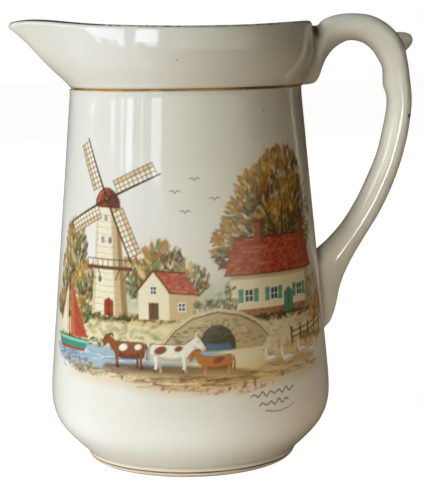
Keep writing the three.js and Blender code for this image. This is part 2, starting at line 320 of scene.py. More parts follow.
bmesh.ops.recalc_face_normals(body, faces=body.faces)
pitcher = placed(body, "glazed_pitcher")
limbs = [placed(handle, "handle_casting"), placed(spur, "spur_casting")]
for limb in limbs:
    luting = pitcher.modifiers.new("luting", "BOOLEAN")
    luting.operation = "UNION"
    luting.solver = "EXACT"
    luting.object = limb
bpy.context.view_layer.update()
joined = bpy.data.meshes.new_from_object(pitcher.evaluated_get(bpy.context.evaluated_depsgraph_get()))
pitcher.modifiers.clear()
pitcher.data = joined
joined.name = "glazed_pitcher"
for limb in limbs:
    bpy.data.objects.remove(limb)


def points_of(mesh):
    """A mesh's points in millimetres."""
    flat_list = np.empty(len(mesh.vertices) * 3, np.float32)
    mesh.vertices.foreach_get("co", flat_list)
    return flat_list.reshape(-1, 3).astype(float) * 1000


def undrawn(points):
    """Radius and height of points of the body as they were before the spout was drawn out."""
    away = np.arctan2(-points[:, 1], -points[:, 0])
    flat = np.hypot(points[:, 0], points[:, 1])
    z = points[:, 2].copy()
    for _ in range(12):
        z = points[:, 2] - rim_rise(away) * rim_share(z)
    return flat - spout_reach(away, z), z


SECTION_LENGTHS = np.concatenate([[0], np.cumsum(np.hypot(*np.diff(section, axis=0).T))])


def on_section(radius, z):
    """How far points are from the body's section, and where along it they are nearest."""
    nearest = np.full(len(z), 1e9)
    place = np.zeros(len(z))
    for (r0, z0), (r1, z1), start in zip(section, section[1:], SECTION_LENGTHS):
        span = math.hypot(r1 - r0, z1 - z0)
        t = np.clip(((radius - r0) * (r1 - r0) + (z - z0) * (z1 - z0)) / span**2, 0, 1)
        off = np.hypot(radius - r0 - t * (r1 - r0), z - z0 - t * (z1 - z0))
        closer = off < nearest
        nearest[closer] = off[closer]
        place[closer] = start + t[closer] * span
    return nearest, place


# The seams are softened with a wet brush: their points are eased towards their neighbours.
SEAM_REACH = 2.2
SEAM_PASSES = 6
ON_SURFACE = 0.03
points = points_of(joined)
off_body, _ = on_section(*undrawn(points))
soft = bmesh.new()
soft.from_mesh(joined)
soft.verts.ensure_lookup_table()
on_seam = [
    v.index for v in soft.verts
    if off_body[v.index] < ON_SURFACE
    and any(off_body[e.other_vert(v).index] > ON_SURFACE for e in v.link_edges)
]
seam_points = points[on_seam]
outside_only = [i for i in range(len(points)) if points[i, 0] > 40 and abs(points[i, 1]) < 20]
near_seam = [
    soft.verts[i] for i in outside_only
    if np.min(np.sum((seam_points - points[i]) ** 2, axis=1)) < SEAM_REACH**2
    and np.hypot(*points[i, :2]) > outer_radius(min(points[i, 2], lip_spring)) - 1
]
for _ in range(SEAM_PASSES):
    bmesh.ops.smooth_vert(
        soft, verts=near_seam, factor=0.5, use_axis_x=True, use_axis_y=True, use_axis_z=True
    )

# The printed picture: an on-glaze transfer of a country scene in ochres, browns, olive, brick red and teal,
# with edges that fade into the bare glaze. It is painted on a canvas of 0.2 mm grain that lies round the
# wall, across in millimetres of arc and up in millimetres from a line 8 mm above the table.
PICTURE_MIDDLE = math.radians(-98)
PICTURE_FOOT = 8
LEFT, RIGHT, LOW, HIGH = -80.0, 80.0, 20.0, 140.0
GRAIN = 0.2
across_steps = int((RIGHT - LEFT) / GRAIN) + 1
up_steps = int((HIGH - LOW) / GRAIN) + 1
canvas = np.zeros((up_steps, across_steps, 4))
chance = np.random.default_rng(7)


def linear(code):
    """An sRGB hex colour as linear red, green and blue."""
    parts = [int(code[i : i + 2], 16) / 255 for i in (1, 3, 5)]
    return tuple(c / 12.92 if c <= 0.04045 else ((c + 0.055) / 1.055) ** 2.4 for c in parts)


def pick(tones):
    """One of several tones, at random."""
    return tones[chance.integers(len(tones))]


def patch(left, low, right, high):
    """A window of the canvas round a box, with the places of its points."""
    i0, i1 = (int(np.clip((x - LEFT) / GRAIN, 0, across_steps)) for x in (left, right + 2 * GRAIN))
    j0, j1 = (int(np.clip((z - LOW) / GRAIN, 0, up_steps)) for z in (low, high + 2 * GRAIN))
    u, z = np.meshgrid(LEFT + GRAIN * np.arange(i0, i1), LOW + GRAIN * np.arange(j0, j1))
    return (slice(j0, j1), slice(i0, i1)), u, z


def lay(window, cover, colour):
    """Lays ink over the canvas where it covers."""
    ink = cover[..., None]
    under = canvas[window]
    under *= 1 - ink
    under[..., :3] += ink * np.array(linear(colour))
    under[..., 3:] += ink


def area(points, colour, cover=1.0, soft=0.3):
    """Fills an area given by its corners."""
    corners = np.array(points, float)
    low, high = corners.min(0) - soft, corners.max(0) + soft
    window, u, z = patch(low[0], low[1], high[0], high[1])
    inside_it = np.zeros(u.shape, bool)
    off = np.full(u.shape, 1e3)
    for (u0, z0), (u1, z1) in zip(corners, np.roll(corners, -1, axis=0)):
        du, dz = u1 - u0, z1 - z0
        crosses = (z0 > z) != (z1 > z)
        inside_it ^= crosses & (u < du * (z - z0) / (dz if abs(dz) > 1e-9 else 1e-9) + u0)
        t = np.clip(((u - u0) * du + (z - z0) * dz) / max(du * du + dz * dz, 1e-9), 0, 1)
        off = np.minimum(off, np.hypot(u - u0 - t * du, z - z0 - t * dz))
    signed = np.where(inside_it, off, -off)
    lay(window, cover * np.clip(0.5 + signed / soft, 0, 1), colour)


def box(left, low, right, high, colour, cover=1.0, soft=0.3):
    """Fills an upright rectangle."""
    area([(left, low), (right, low), (right, high), (left, high)], colour, cover, soft)


def oval(u0, z0, across, up, colour, turn=0.0, cover=1.0, soft=0.3):
    """Fills an oval, its turn in degrees."""
    reach = max(across, up) + soft
    window, u, z = patch(u0 - reach, z0 - reach, u0 + reach, z0 + reach)
    c, s = math.cos(math.radians(turn)), math.sin(math.radians(turn))
    a = ((u - u0) * c + (z - z0) * s) / across
    b = (-(u - u0) * s + (z - z0) * c) / up
    inwards = (1 - np.hypot(a, b)) * min(across, up)
    lay(window, cover * np.clip(0.5 + inwards / soft, 0, 1), colour)


def stroke(points, width, colour, cover=1.0, end_width=None, soft=0.25):
    """Draws a brush or pen line through points, its width tapering to the end width."""
    points = np.array(points, float)
    end_width = width if end_width is None else end_width
    reach = max(width, end_width) + soft
    low, high = points.min(0) - reach, points.max(0) + reach
    window, u, z = patch(low[0], low[1], high[0], high[1])
    ink = np.zeros(u.shape)
    widths = np.linspace(width, end_width, len(points))
    for (u0, z0), (u1, z1), w0, w1 in zip(points, points[1:], widths, widths[1:]):
        du, dz = u1 - u0, z1 - z0
        t = np.clip(((u - u0) * du + (z - z0) * dz) / max(du * du + dz * dz, 1e-9), 0, 1)
        off = np.hypot(u - u0 - t * du, z - z0 - t * dz)
        ink = np.maximum(ink, np.clip(0.5 + ((w0 + t * (w1 - w0)) / 2 - off) / soft, 0, 1))
    lay(window, cover * ink, colour)


def dabs(count, middle, reach, colours, size=1.0, cover=0.8, lean=60, loose=0.55):
    """Dabs a soft brush at random over an oval, thinner towards its edge."""
    for _ in range(count):
        angle, far = chance.uniform(0, math.tau), chance.uniform(0, 1) ** loose
        u0 = middle[0] + reach[0] * far * math.cos(angle)
        z0 = middle[1] + reach[1] * far * math.sin(angle)
        big = size * chance.uniform(0.5, 1.4)
        colour = pick(colours)
        turn = lean + chance.normal(0, 35)
        oval(u0, z0, big, big * 0.5, colour, turn, cover * chance.uniform(0.5, 1.0), soft=0.3)


def wash(middle, reach, colour, cover, turn=0.0):
    """A pale wash whose edge fades away."""
    oval(middle[0], middle[1], reach[0], reach[1], colour, turn, cover, soft=min(reach) * 1.1)


# Far ground: pale hills and a soft mass of distant trees.
wash((-52, 66), (26, 9), "#c3c29a", 0.7)
wash((54, 66), (24, 10), "#cbbf92", 0.7)
wash((4, 68), (34, 8), "#b9bf9f", 0.75)
wash((-20, 72), (22, 6), "#a9b79c", 0.6)
dabs(90, (-58, 67), (18, 6), ["#8c8f55", "#a8a468", "#b9a36a", "#7d7a44"], 1.3, 0.6)
dabs(90, (62, 70), (14, 8), ["#94905a", "#b5a566", "#8a7f46", "#a8a873"], 1.3, 0.5)
dabs(70, (4, 69), (26, 4), ["#8ea287", "#9aa476", "#7c8c62"], 1.2, 0.6)

# Meadows and the sandy track down to the bridge.
area([(-70, 63), (-40, 66), (0, 65), (40, 64), (70, 63), (74, 56), (68, 46), (46, 38), (14, 36), (-20, 39),
      (-52, 42), (-72, 50)], "#e6d6a8", 0.85, soft=5.0)
area([(30, 62), (56, 61), (60, 54), (40, 47), (20, 42), (-4, 37), (2, 35), (34, 35), (62, 42), (72, 50),
      (66, 60)],
     "#e2c78d", 0.85, soft=3.0)
area([(-44, 63), (-26, 64), (-8, 62), (0, 60), (-6, 58), (-28, 59), (-46, 60)], "#ddc389", 0.9, soft=1.6)
dabs(120, (-30, 58), (30, 5), ["#a3a05a", "#8d8c4a", "#c2b06c", "#77793e"], 1.5, 0.55, lean=5)
dabs(90, (46, 52), (26, 8), ["#c9a566", "#b98f4e", "#dcc28a", "#a77a3c"], 1.5, 0.5, lean=0)

# Trees are brushed in short strokes that fan out from where the boughs spring, pale at the fringe, ochre in
# the light and dark olive underneath.
FRINGE = ["#ead6a8", "#e3c98f", "#efe0bd"]
SUNLIT = ["#c58d36", "#d6a44c", "#bb7a2c", "#dfb867", "#a9742a"]
BRONZE = ["#8a5f1c", "#9c6e24", "#74571f", "#6d6a2b", "#a0662a"]
SHADED = ["#3c3315", "#4b3b17", "#5a4119", "#3f451d", "#57301a"]


def crown(u, z, wide, tall, spring, count, greens=0.1):
    """One rounded mass of leaves, its strokes fanned out from a point."""
    for tones, grow, share, big, cover in ((FRINGE, 1.16, 0.35, 1.5, 0.5), (BRONZE, 1.0, 0.7, 1.3, 0.9),
                                           (None, 0.97, 1.0, 1.0, 0.9)):
        for _ in range(int(count * share)):
            angle, far = chance.uniform(0, math.tau), grow * math.sqrt(chance.uniform(0, 1))
            pu, pz = u + wide * far * math.cos(angle), z + tall * far * math.sin(angle)
            light = 0.5 + 0.42 * far * math.sin(angle) - 0.28 * far * math.cos(angle) + chance.normal(0, 0.11)
            kind = tones or (SUNLIT if light > 0.66 else BRONZE if light > 0.46 else SHADED)
            colour = pick(kind)
            if tones is None and chance.uniform() < greens:
                colour = pick(["#6f9a70", "#5f7f42", "#84a877"])
            lean = math.degrees(math.atan2(pz - spring[1], pu - spring[0])) + chance.normal(0, 22)
            long = big * chance.uniform(0.8, 1.7)
            oval(pu, pz, long, long * 0.4, colour, lean, cover * chance.uniform(0.6, 1.0))


# A belt of trees behind the mill and its store.
stroke([(-58, 60), (-58, 78)], 1.6, "#5c3b20", end_width=0.9)
for u, z, wide, tall in ((-57, 88, 9, 12), (-64, 76, 7, 10), (-50, 74, 8, 9), (-24, 78, 8, 8),
                         (-12, 84, 9, 9), (-1, 77, 8, 7)):
    crown(u, z, wide, tall, (u, z - tall * 1.3), int(wide * tall * 2.1), greens=0.25)
crown(-68, 63, 8, 6, (-68, 54), 130, greens=0.3)
crown(-54, 62, 9, 5, (-54, 54), 130, greens=0.3)

# The big autumn tree behind the farmhouse.
stroke([(41, 62), (41.5, 76), (43, 90), (42, 104)], 4.2, "#5c3b20", end_width=1.6)
stroke([(40.4, 63), (40.8, 80), (42.2, 96)], 1.0, "#a9794a", end_width=0.4)
for u, z, wide, tall in ((55, 98, 11, 12), (26, 100, 13, 12), (16, 90, 8, 9), (42, 114, 16, 15),
                         (30, 112, 11, 10), (51, 108, 11, 10),
                         (42, 98, 15, 11)):
    crown(u, z, wide, tall, (42, 86), int(wide * tall * 2.0))
for path in ([(42, 86), (36, 98), (30, 108)], [(43, 90), (50, 101), (56, 110)],
             [(42, 92), (42, 106), (40, 118)], [(38, 94), (28, 99)]):
    stroke(path, 1.3, "#3f2a14", 0.8, end_width=0.4)
dabs(70, (42, 96), (15, 7), SHADED, 1.2, 0.8)

# The windmill: a white boarded tower with a brown stage and cap, and four lattice sails.
MILL = np.array([-36.0, 62.0])


def of_mill(*points):
    return [tuple(MILL + p) for p in points]


area(of_mill((-9.4, 0), (9.4, 0), (5.3, 44), (-5.3, 44)), "#efe5c8")
area(of_mill((3.2, 0), (9.4, 0), (5.3, 44), (1.8, 44)), "#c7ab77", 0.9, soft=1.0)
area(of_mill((6.6, 0), (9.4, 0), (5.3, 44), (3.9, 44)), "#8f6d3d", 0.85, soft=0.8)
area(of_mill((-9.4, 0), (-7.6, 0), (-4.6, 44), (-5.3, 44)), "#d9c595", 0.9, soft=0.6)
for up in np.arange(2, 43, 2.6):
    half = 9.4 - up * 4.1 / 44
    stroke(of_mill((-half, up), (0, up - 0.5), (half, up)), 0.28, "#a58a58", 0.55)
area(of_mill((-2.4, 0), (2.4, 0), (2.4, 6), (0, 7.4), (-2.4, 6)), "#9c3b20")
stroke(of_mill((0, 0), (0, 7.2)), 0.35, "#5a2312")
for u, up in ((-4.6, 13), (1.2, 29), (-2.6, 29), (-0.8, 38)):
    area(of_mill((u - 1.1, up), (u + 1.1, up), (u + 1.1, up + 3.2), (u - 1.1, up + 3.2)), "#f4efdf")
    area(of_mill((u - 0.75, up + 0.3), (u + 0.75, up + 0.3), (u + 0.75, up + 2.9), (u - 0.75, up + 2.9)),
         "#3b3f46")
    stroke(of_mill((u, up + 0.3), (u, up + 2.9)), 0.25, "#f4efdf")
area(of_mill((-11.4, 18.6), (11.4, 18.6), (11.4, 20.1), (-11.4, 20.1)), "#6b4526")
stroke(of_mill((-11.4, 22.8), (11.4, 22.8)), 0.4, "#6b4526")
for u in np.linspace(-11.2, 11.2, 9):
    stroke(of_mill((u, 19), (u, 22.8)), 0.35, "#6b4526")
for u in (-8.6, -4.4, 4.4, 8.6):
    stroke(of_mill((u * 1.25, 18.8), (u * 0.85, 14.6)), 0.5, "#54341c")
cap = of_mill((-6.6, 43.6), (6.6, 43.6), (6.2, 47), (4.2, 50), (1.4, 51.8), (-1.4, 51.8), (-4.2, 50),
              (-6.2, 47))
area(cap, "#8b3d1f")
area(of_mill((1, 43.6), (6.6, 43.6), (6.2, 47), (4.2, 50), (1.6, 51.4)), "#5c2613", 0.8, soft=1.0)
stroke(of_mill((-5, 46), (-3.4, 49.2), (-1, 50.8)), 0.8, "#c26a3c", 0.9)
HUB = MILL + (0, 47)
for angle in (24, 114, 204, 294):
    along = np.array([math.cos(math.radians(angle)), math.sin(math.radians(angle))])
    beside = np.array([-along[1], along[0]])
    cloth = [HUB + along * a + beside * b for a, b in ((6, 0.3), (25.5, 0.3), (25.5, 5.6), (6, 5.6))]
    area(cloth, "#f3ead0", 0.92)
    area([HUB + along * a + beside * b for a, b in ((6, 3.4), (25.5, 3.4), (25.5, 5.6), (6, 5.6))],
         "#d5b988", 0.75)
    for a in np.arange(6, 26, 2.15):
        stroke([HUB + along * a + beside * 0.2, HUB + along * a + beside * 5.7], 0.34, "#7d5026")
    for b in (2.0, 3.9, 5.6):
        stroke([HUB + along * 6 + beside * b, HUB + along * 25.5 + beside * b], 0.32, "#7d5026")
    stroke([HUB, HUB + along * 26.5], 1.1, "#4b2b17", end_width=0.7)
oval(HUB[0], HUB[1], 1.5, 1.5, "#3d2413")
oval(HUB[0] - 0.3, HUB[1] + 0.4, 0.6, 0.5, "#9a6a3c")


# Houses: cream walls, brick plinths, tiled roofs in brick red, teal shutters and doors.
def tiles(corners, rows):
    """A tiled roof over four corners, eaves first, laid in courses of short strokes."""
    a, b, c, d = (np.array(p, float) for p in corners)
    area([a, b, c, d], "#b2472a")
    for k in range(rows):
        low_share = (k + 0.5) / rows
        start, stop = a + (d - a) * low_share, b + (c - b) * low_share
        steps = int(np.linalg.norm(stop - start) / 1.5)
        for j in range(steps):
            p = start + (stop - start) * (j + chance.uniform(0.1, 0.6)) / steps
            q = p + (stop - start) / steps * 0.8 + (d - a) / rows * chance.uniform(-0.15, 0.25)
            tone = pick(["#8e2f1b", "#c75c35", "#d6764a", "#7a2816", "#a63c22", "#c96a3a"])
            stroke([p, q], 0.75, tone, 0.75)
    stroke([d, c], 0.8, "#6e2817")
    stroke([a, b], 0.6, "#5c2414")


def window(u, z, wide, tall, shutters=True):
    box(u, z, u + wide, z + tall, "#f7f2e2")
    box(u + 0.35, z + 0.35, u + wide - 0.35, z + tall - 0.35, "#3a3d44")
    stroke([(u + wide / 2, z), (u + wide / 2, z + tall)], 0.3, "#f7f2e2")
    stroke([(u, z + tall / 2), (u + wide, z + tall / 2)], 0.3, "#f7f2e2")
    if shutters:
        for left_side in (u - wide * 0.62, u + wide + 0.1):
            right_side = left_side + wide * 0.52
            box(left_side, z, right_side, z + tall, "#5fa889")
            for slat in np.arange(z + 0.6, z + tall, 0.9):
                stroke([(left_side, slat), (right_side, slat)], 0.22, "#2f6d57")


# The long farmhouse at the right, half hidden by the tree.
box(16, 61, 60, 79, "#efe3bf")
box(16, 61, 60, 64.4, "#a8683c", 0.9)
for k in range(46):
    u, z = chance.uniform(16.5, 58), chance.choice([61.8, 62.7, 63.6])
    stroke([(u, z), (u + 1.2, z)], 0.35, "#7c4425", 0.8)
box(16, 76.6, 60, 79, "#b59a68", 0.8, 1.2)
box(56.8, 61, 60, 79, "#c4a873", 0.8, 1.0)
tiles([(13.4, 78.4), (63, 78.2), (58.6, 93), (18, 93.4)], 9)
for u in (22, 34.4, 50):
    window(u, 67.2, 4.2, 5.4)
area([(42.4, 61), (47, 61), (47, 69.4), (44.7, 71), (42.4, 69.4)], "#3f8f72")
stroke([(44.7, 61.4), (44.7, 70.6)], 0.3, "#235844")
stroke([(42.2, 61), (42.2, 69.6), (44.7, 71.4), (47.2, 69.6), (47.2, 61)], 0.5, "#7a5a34")
for u, z in ((27, 91), (52.5, 90.5)):
    box(u, z, u + 4.4, z + 8.5, "#9a5230")
    box(u + 2.8, z, u + 4.4, z + 8.5, "#6a3219", 0.9)
    box(u - 0.5, z + 8, u + 4.9, z + 9.4, "#70361c")
dabs(70, (15.5, 68), (3.2, 8), ["#5f6a2e", "#7f8c46", "#44501f", "#9a6a2c"], 0.9, 0.9)
dabs(60, (60.5, 67), (3.4, 7), ["#6d6b2e", "#a4792e", "#54572a", "#8fae83"], 0.9, 0.9)
stroke([(16, 61), (60, 61)], 0.5, "#5a3c20")

# The mill's store, gable end forward.
dabs(60, (-10, 62), (16, 1.6), SHADED, 1.1, 0.7, lean=10)
area([(-22, 61.4), (-9, 61.4), (-9, 73), (-15.5, 80.5), (-22, 73)], "#f0e4c2")
area([(-9, 61.4), (2, 61.6), (2, 71.6), (-9, 73)], "#cdb27f")
tiles([(-9.2, 72.2), (3.4, 71.2), (-2.6, 80.2), (-15.5, 81)], 5)
stroke([(-23.4, 71.8), (-15.5, 81.2), (-8, 72)], 0.9, "#7a3a20")
box(-17.6, 61.4, -13.4, 68.2, "#6b4322")
stroke([(-15.5, 61.4), (-15.5, 68.2)], 0.3, "#3c2412")
window(-16.9, 71.4, 2.8, 3.6, shutters=False)
window(-5.6, 64.6, 3.2, 3.8, shutters=False)

# Shadow at the foot of the buildings.
dabs(90, (38, 60.4), (24, 1.3), SHADED, 1.2, 0.75, lean=5)
dabs(60, (-36, 61.4), (14, 1.2), SHADED, 1.2, 0.75, lean=5)
dabs(60, (8, 66), (9, 3), BRONZE + SHADED, 1.2, 0.8)

# The stream and the stone bridge.
area([(4, 53), (17, 53), (12, 48), (0, 44), (-22, 40.5), (-50, 38), (-70, 41), (-75, 46), (-66, 50),
      (-44, 49.4), (-20, 50)],
     "#9db6c6", 0.95, soft=1.4)
for _ in range(95):
    u = chance.uniform(-72, 12)
    middle_z = 45 + 0.0022 * (u + 50) ** 2 * (1 if u > -50 else 0) + 0.2
    z = middle_z + chance.normal(0, 2.2)
    long = chance.uniform(2, 6)
    tone = pick(["#5f88b4", "#dfe9ea", "#7ea3bf", "#48709c", "#f3f5ee", "#8a9a7a"])
    stroke([(u, z), (u + long / 2, z + 0.25), (u + long, z)], 0.55, tone, 0.7, end_width=0.25)
dabs(120, (-40, 50.6), (34, 1.6), ["#5a5f2a", "#7b7a38", "#4a3c1c", "#8f8a4a"], 1.0, 0.85, lean=15)
dabs(90, (-34, 38.6), (34, 1.6), ["#6b5a28", "#8c7a3c", "#4f421e", "#a98a4c"], 1.0, 0.8, lean=10)
arch = [(-12, 50), (-7, 57), (0, 62), (10, 64.4), (20, 62.6), (28, 58.5), (33, 53), (30, 49), (-8, 48)]
area(arch, "#c0aa80")
area([(2.6, 49), (3, 53), (5, 56.8), (8.2, 59), (12, 59), (15.4, 57), (17.6, 53.2), (18, 49)], "#4b4330")
area([(4.5, 48.6), (16.6, 48.6), (15, 51.5), (6, 51.5)], "#56708c", 0.9)
for k in range(64):
    t = chance.uniform(0, 1)
    u = -9 + 40 * t
    top = 64.2 - 0.024 * (u - 10) ** 2 - 1.4
    z = chance.uniform(50.5, max(top, 51))
    if math.hypot((u - 10.3) / 8.6, (z - 50) / 9.8) > 1.08:
        stroke([(u, z), (u + chance.uniform(1, 2), z)], chance.uniform(0.5, 1.0),
               pick(["#8f7a55", "#d9c8a0", "#a08a62", "#6f5c3e"]), 0.7)
stroke([(-13, 51), (-7.4, 57.8), (0, 62.8), (10, 65.2), (20, 63.4), (28.6, 59.2), (34, 53.6)], 1.1, "#d8c69c")
stroke([(-12.6, 49.9), (-6.9, 56.8), (0.2, 61.7), (10, 64), (19.8, 62.2), (28, 58.1), (33.2, 52.8)], 0.45,
       "#5b4a30")
for turn in np.linspace(14, 166, 11):
    c, s = math.cos(math.radians(turn)), math.sin(math.radians(turn))
    stroke([(10.3 + 7.8 * c, 49.6 + 9.4 * s), (10.3 + 9.6 * c, 49.6 + 11.2 * s)], 0.35, "#6d5a3c")

# A small sailing boat on the stream.
stroke([(-62, 47), (-61.6, 77.5)], 0.8, "#4a2d18", end_width=0.5)
area([(-60.6, 51), (-60.8, 76), (-57, 69), (-49.4, 54.5), (-48.2, 51.6)], "#b44a2b")
for a, b in (((-60.4, 60), (-50.6, 53.4)), ((-60.5, 67), (-53.6, 60)), ((-60.6, 72.6), (-57.4, 67.8))):
    stroke([a, b], 0.5, "#7d2d18", 0.8)
area([(-60.6, 51.4), (-60.8, 75), (-59, 72), (-57.4, 56), (-57, 51.6)], "#d47c50", 0.55, soft=1.5)
area([(-63.2, 52.4), (-62.8, 72.6), (-70.6, 53.4)], "#f0e5c8")
stroke([(-63.4, 53), (-64.2, 66)], 1.0, "#cbb07c", 0.7)
area([(-73.2, 50.4), (-47.6, 50.2), (-50.4, 46), (-69.4, 45.8)], "#3f8f76")
area([(-73.2, 50.6), (-47.6, 50.4), (-48.2, 49.2), (-72.4, 49.3)], "#8ccdb2")
area([(-70, 46.6), (-50, 46.8), (-50.6, 45.8), (-69.4, 45.6)], "#a53c24")
stroke([(-73.4, 50.8), (-47.2, 50.6)], 0.5, "#2a2a20")
for k in range(14):
    u, z = chance.uniform(-70, -51), chance.uniform(42.6, 45.2)
    stroke([(u, z), (u + 3.2, z)], 0.5, pick(["#2f5f58", "#7a3a26", "#27404a"]), 0.6, end_width=0.2)


# Cattle and geese are drawn about their feet, and stand or walk either way.
def placer(u, z, size, facing):
    """Turns places on an animal, counted from its feet, into places on the canvas."""
    return lambda *points: [(u + facing * size * a, z + size * b) for a, b in points]


# Cattle on the near bank.
def cow(u, z, size, facing, coat, shade, patch_tone, patches):
    """A standing cow, its feet at a place, facing left (-1) or right (1)."""
    on = placer(u, z, size, facing)
    for a, tone in ((-4.9, shade), (3.6, shade)):
        stroke(on((a + 1.4, 4.4), (a + 1.2, 2.2), (a + 1.5, 0.3)), 1.0 * size, tone, end_width=0.7 * size)
    area(on((-7, 7.6), (-6.4, 4), (-3, 3.4), (2.5, 3.2), (5.4, 4.4), (6.6, 7), (6.2, 9.4), (2, 9.2),
            (-3, 9.4), (-6.2, 9.5)),
         coat, soft=0.5)
    area(on((-6.6, 6), (-6.2, 4), (-3, 3.4), (2.5, 3.2), (5.2, 4.5), (5.6, 5.4), (0, 4.8)), shade, 0.8,
         soft=0.9)
    for a, b, wide, tall in patches:
        oval(u + facing * size * a, z + size * b, size * wide, size * tall, patch_tone, 20, soft=0.5)
    for a in (-5.2, 4.4):
        stroke(on((a, 5), (a + 0.2, 2.4), (a - 0.1, 0.3)), 1.25 * size, coat, end_width=0.8 * size)
        stroke(on((a - 0.15, 0.6), (a - 0.1, 0.1)), 0.9 * size, "#2b1a10")
    area(on((4.8, 9.2), (8, 11.4), (9, 10), (7, 6.2), (5.2, 5.6)), coat, soft=0.4)
    area(on((7.6, 11.6), (9, 12), (10.2, 10.8), (11.9, 8.2), (11.2, 7.2), (9.8, 7.4), (7.8, 9.4)), coat,
         soft=0.4)
    area(on((10.9, 8.4), (11.9, 8.4), (11.8, 7.2), (10.8, 7)), "#d9b9a0")
    stroke(on((7.9, 11.6), (6.6, 12), (6.3, 11.2)), 0.7 * size, shade)
    stroke(on((8.6, 12), (8.9, 13.2), (9.8, 13.6)), 0.5 * size, "#e9dfc4", end_width=0.3)
    stroke(on((-7, 9), (-7.7, 6.4), (-7.4, 3.6)), 0.55 * size, shade, end_width=0.8 * size)
    stroke(on((-6.2, 9.6), (-3, 9.5), (2, 9.3), (5, 9.5), (8, 11.7)), 0.3, "#3b2212", 0.7)
    oval(u + facing * size * 9.4, z + size * 10.2, 0.3, 0.3, "#1e120a")


area([(-40, 40.6), (-30, 38.6), (-8, 37.4), (8, 36), (24, 37), (30, 39), (16, 41.4), (-2, 43), (-24, 43.4),
      (-38, 42.6)], "#6b4a1f",
     0.9, soft=1.4)
area([(-34, 40.4), (-12, 39), (6, 37.6), (20, 38), (4, 40.2), (-20, 41.8)], "#452c13", 0.75, soft=1.2)
cow(-27, 41.4, 1.12, -1, "#8a4a23", "#5a2d15", "#f2ecdc", [(2, 7.4, 1.8, 1.2), (-4, 7.8, 1.4, 1.0)])
cow(-9, 40.2, 1.2, 1, "#f1ecdd", "#bfae8e", "#8a4a26", [(-3.4, 7.4, 2.3, 1.3), (2.8, 8, 1.5, 0.9)])
cow(9.5, 37.2, 1.02, -1, "#b9793a", "#7a4318", "#8a4f22", [(-1, 7.6, 2.4, 1.2)])


# White geese crossing the track.
def goose(u, z, size, facing):
    on = placer(u, z, size, facing)
    stroke(on((-0.4, 1.6), (-0.3, 0)), 0.4, "#c9702a")
    stroke(on((0.7, 1.6), (0.9, 0)), 0.4, "#c9702a")
    area(on((-3.6, 3.4), (-2, 1.6), (0.8, 1.2), (2.4, 2.4), (2.2, 3.8), (-0.6, 4)), "#f6f3e8", soft=0.4)
    area(on((-3.2, 2.8), (-1.8, 1.7), (0.8, 1.3), (1.8, 2), (-0.6, 2.4)), "#b9ad92", 0.7, soft=0.6)
    stroke(on((1.7, 3.2), (2.8, 4.8), (2.6, 6.4), (3.2, 7)), 1.0 * size, "#f6f3e8", end_width=0.9 * size)
    stroke(on((3.4, 7), (4.4, 6.7)), 0.55 * size, "#d67f2c", end_width=0.3)
    stroke(on((-3.4, 3.5), (-0.6, 4.1), (1.6, 3.9)), 0.28, "#6b5a42", 0.8)


area([(28, 40.4), (62, 40), (60, 42.4), (34, 43)], "#a98348", 0.55, soft=1.6)
for u, z, size, facing in ((34, 41, 0.95, -1), (43, 39.6, 1.15, -1), (52.5, 42.2, 0.95, -1),
                           (60.5, 40.6, 1.05, 1)):
    goose(u, z, size, facing)

# Ricks, a field gate and a fence at the right.
for u, z, size in ((69.5, 58.4, 1.0), (63.8, 56, 0.8)):
    shape_of = [(-4.6, 0), (4.6, 0), (5, 4), (3.4, 7.4), (0, 9.4), (-3.4, 7.4), (-5, 4)]
    area([(u + size * a, z + size * b) for a, b in shape_of], "#c99a4c", soft=0.6)
    dabs(40, (u, z + 4 * size), (4 * size, 4 * size), ["#e2c078", "#a87430", "#8b5c24", "#d4a95a"], 1.0,
         0.75, lean=80)
    area([(u + size * a, z + size * b) for a, b in ((1.6, 0), (4.6, 0), (5, 4), (3.2, 7.6))], "#7a5222", 0.6,
         soft=1.2)
for rail in (0, 2.4):
    stroke([(46, 50.4 + rail), (58, 51.8 + rail), (74, 55 + rail)], 0.55, "#5b3a20")
for u, z in ((46, 48.4), (52, 49), (58, 49.6), (64, 50.8), (70, 52), (74, 52.8)):
    stroke([(u, z), (u, z + 6.2)], 0.9, "#4a2e19")
dabs(60, (62, 49.6), (13, 1.4), ["#6f6f34", "#8c7a3c", "#5a4f24"], 1.0, 0.7, lean=70)

# Foreground: sandy ground streaked with brown shadow, fallen leaves and tufts, and birds in the sky.
def streaks(count, middle, reach, tones, long, wide, cover):
    """Long level brush strokes over an oval of ground."""
    for _ in range(count):
        angle, far = chance.uniform(0, math.tau), math.sqrt(chance.uniform(0, 1))
        u, z = middle[0] + reach[0] * far * math.cos(angle), middle[1] + reach[1] * far * math.sin(angle)
        run = long * chance.uniform(0.4, 1.3)
        path = [(u - run / 2, z + chance.normal(0, 0.2)), (u, z + chance.normal(0, 0.25)),
                (u + run / 2, z + chance.normal(0, 0.2))]
        stroke(path, wide * chance.uniform(0.6, 1.3), pick(tones), cover * chance.uniform(0.6, 1), 0.2, 0.5)


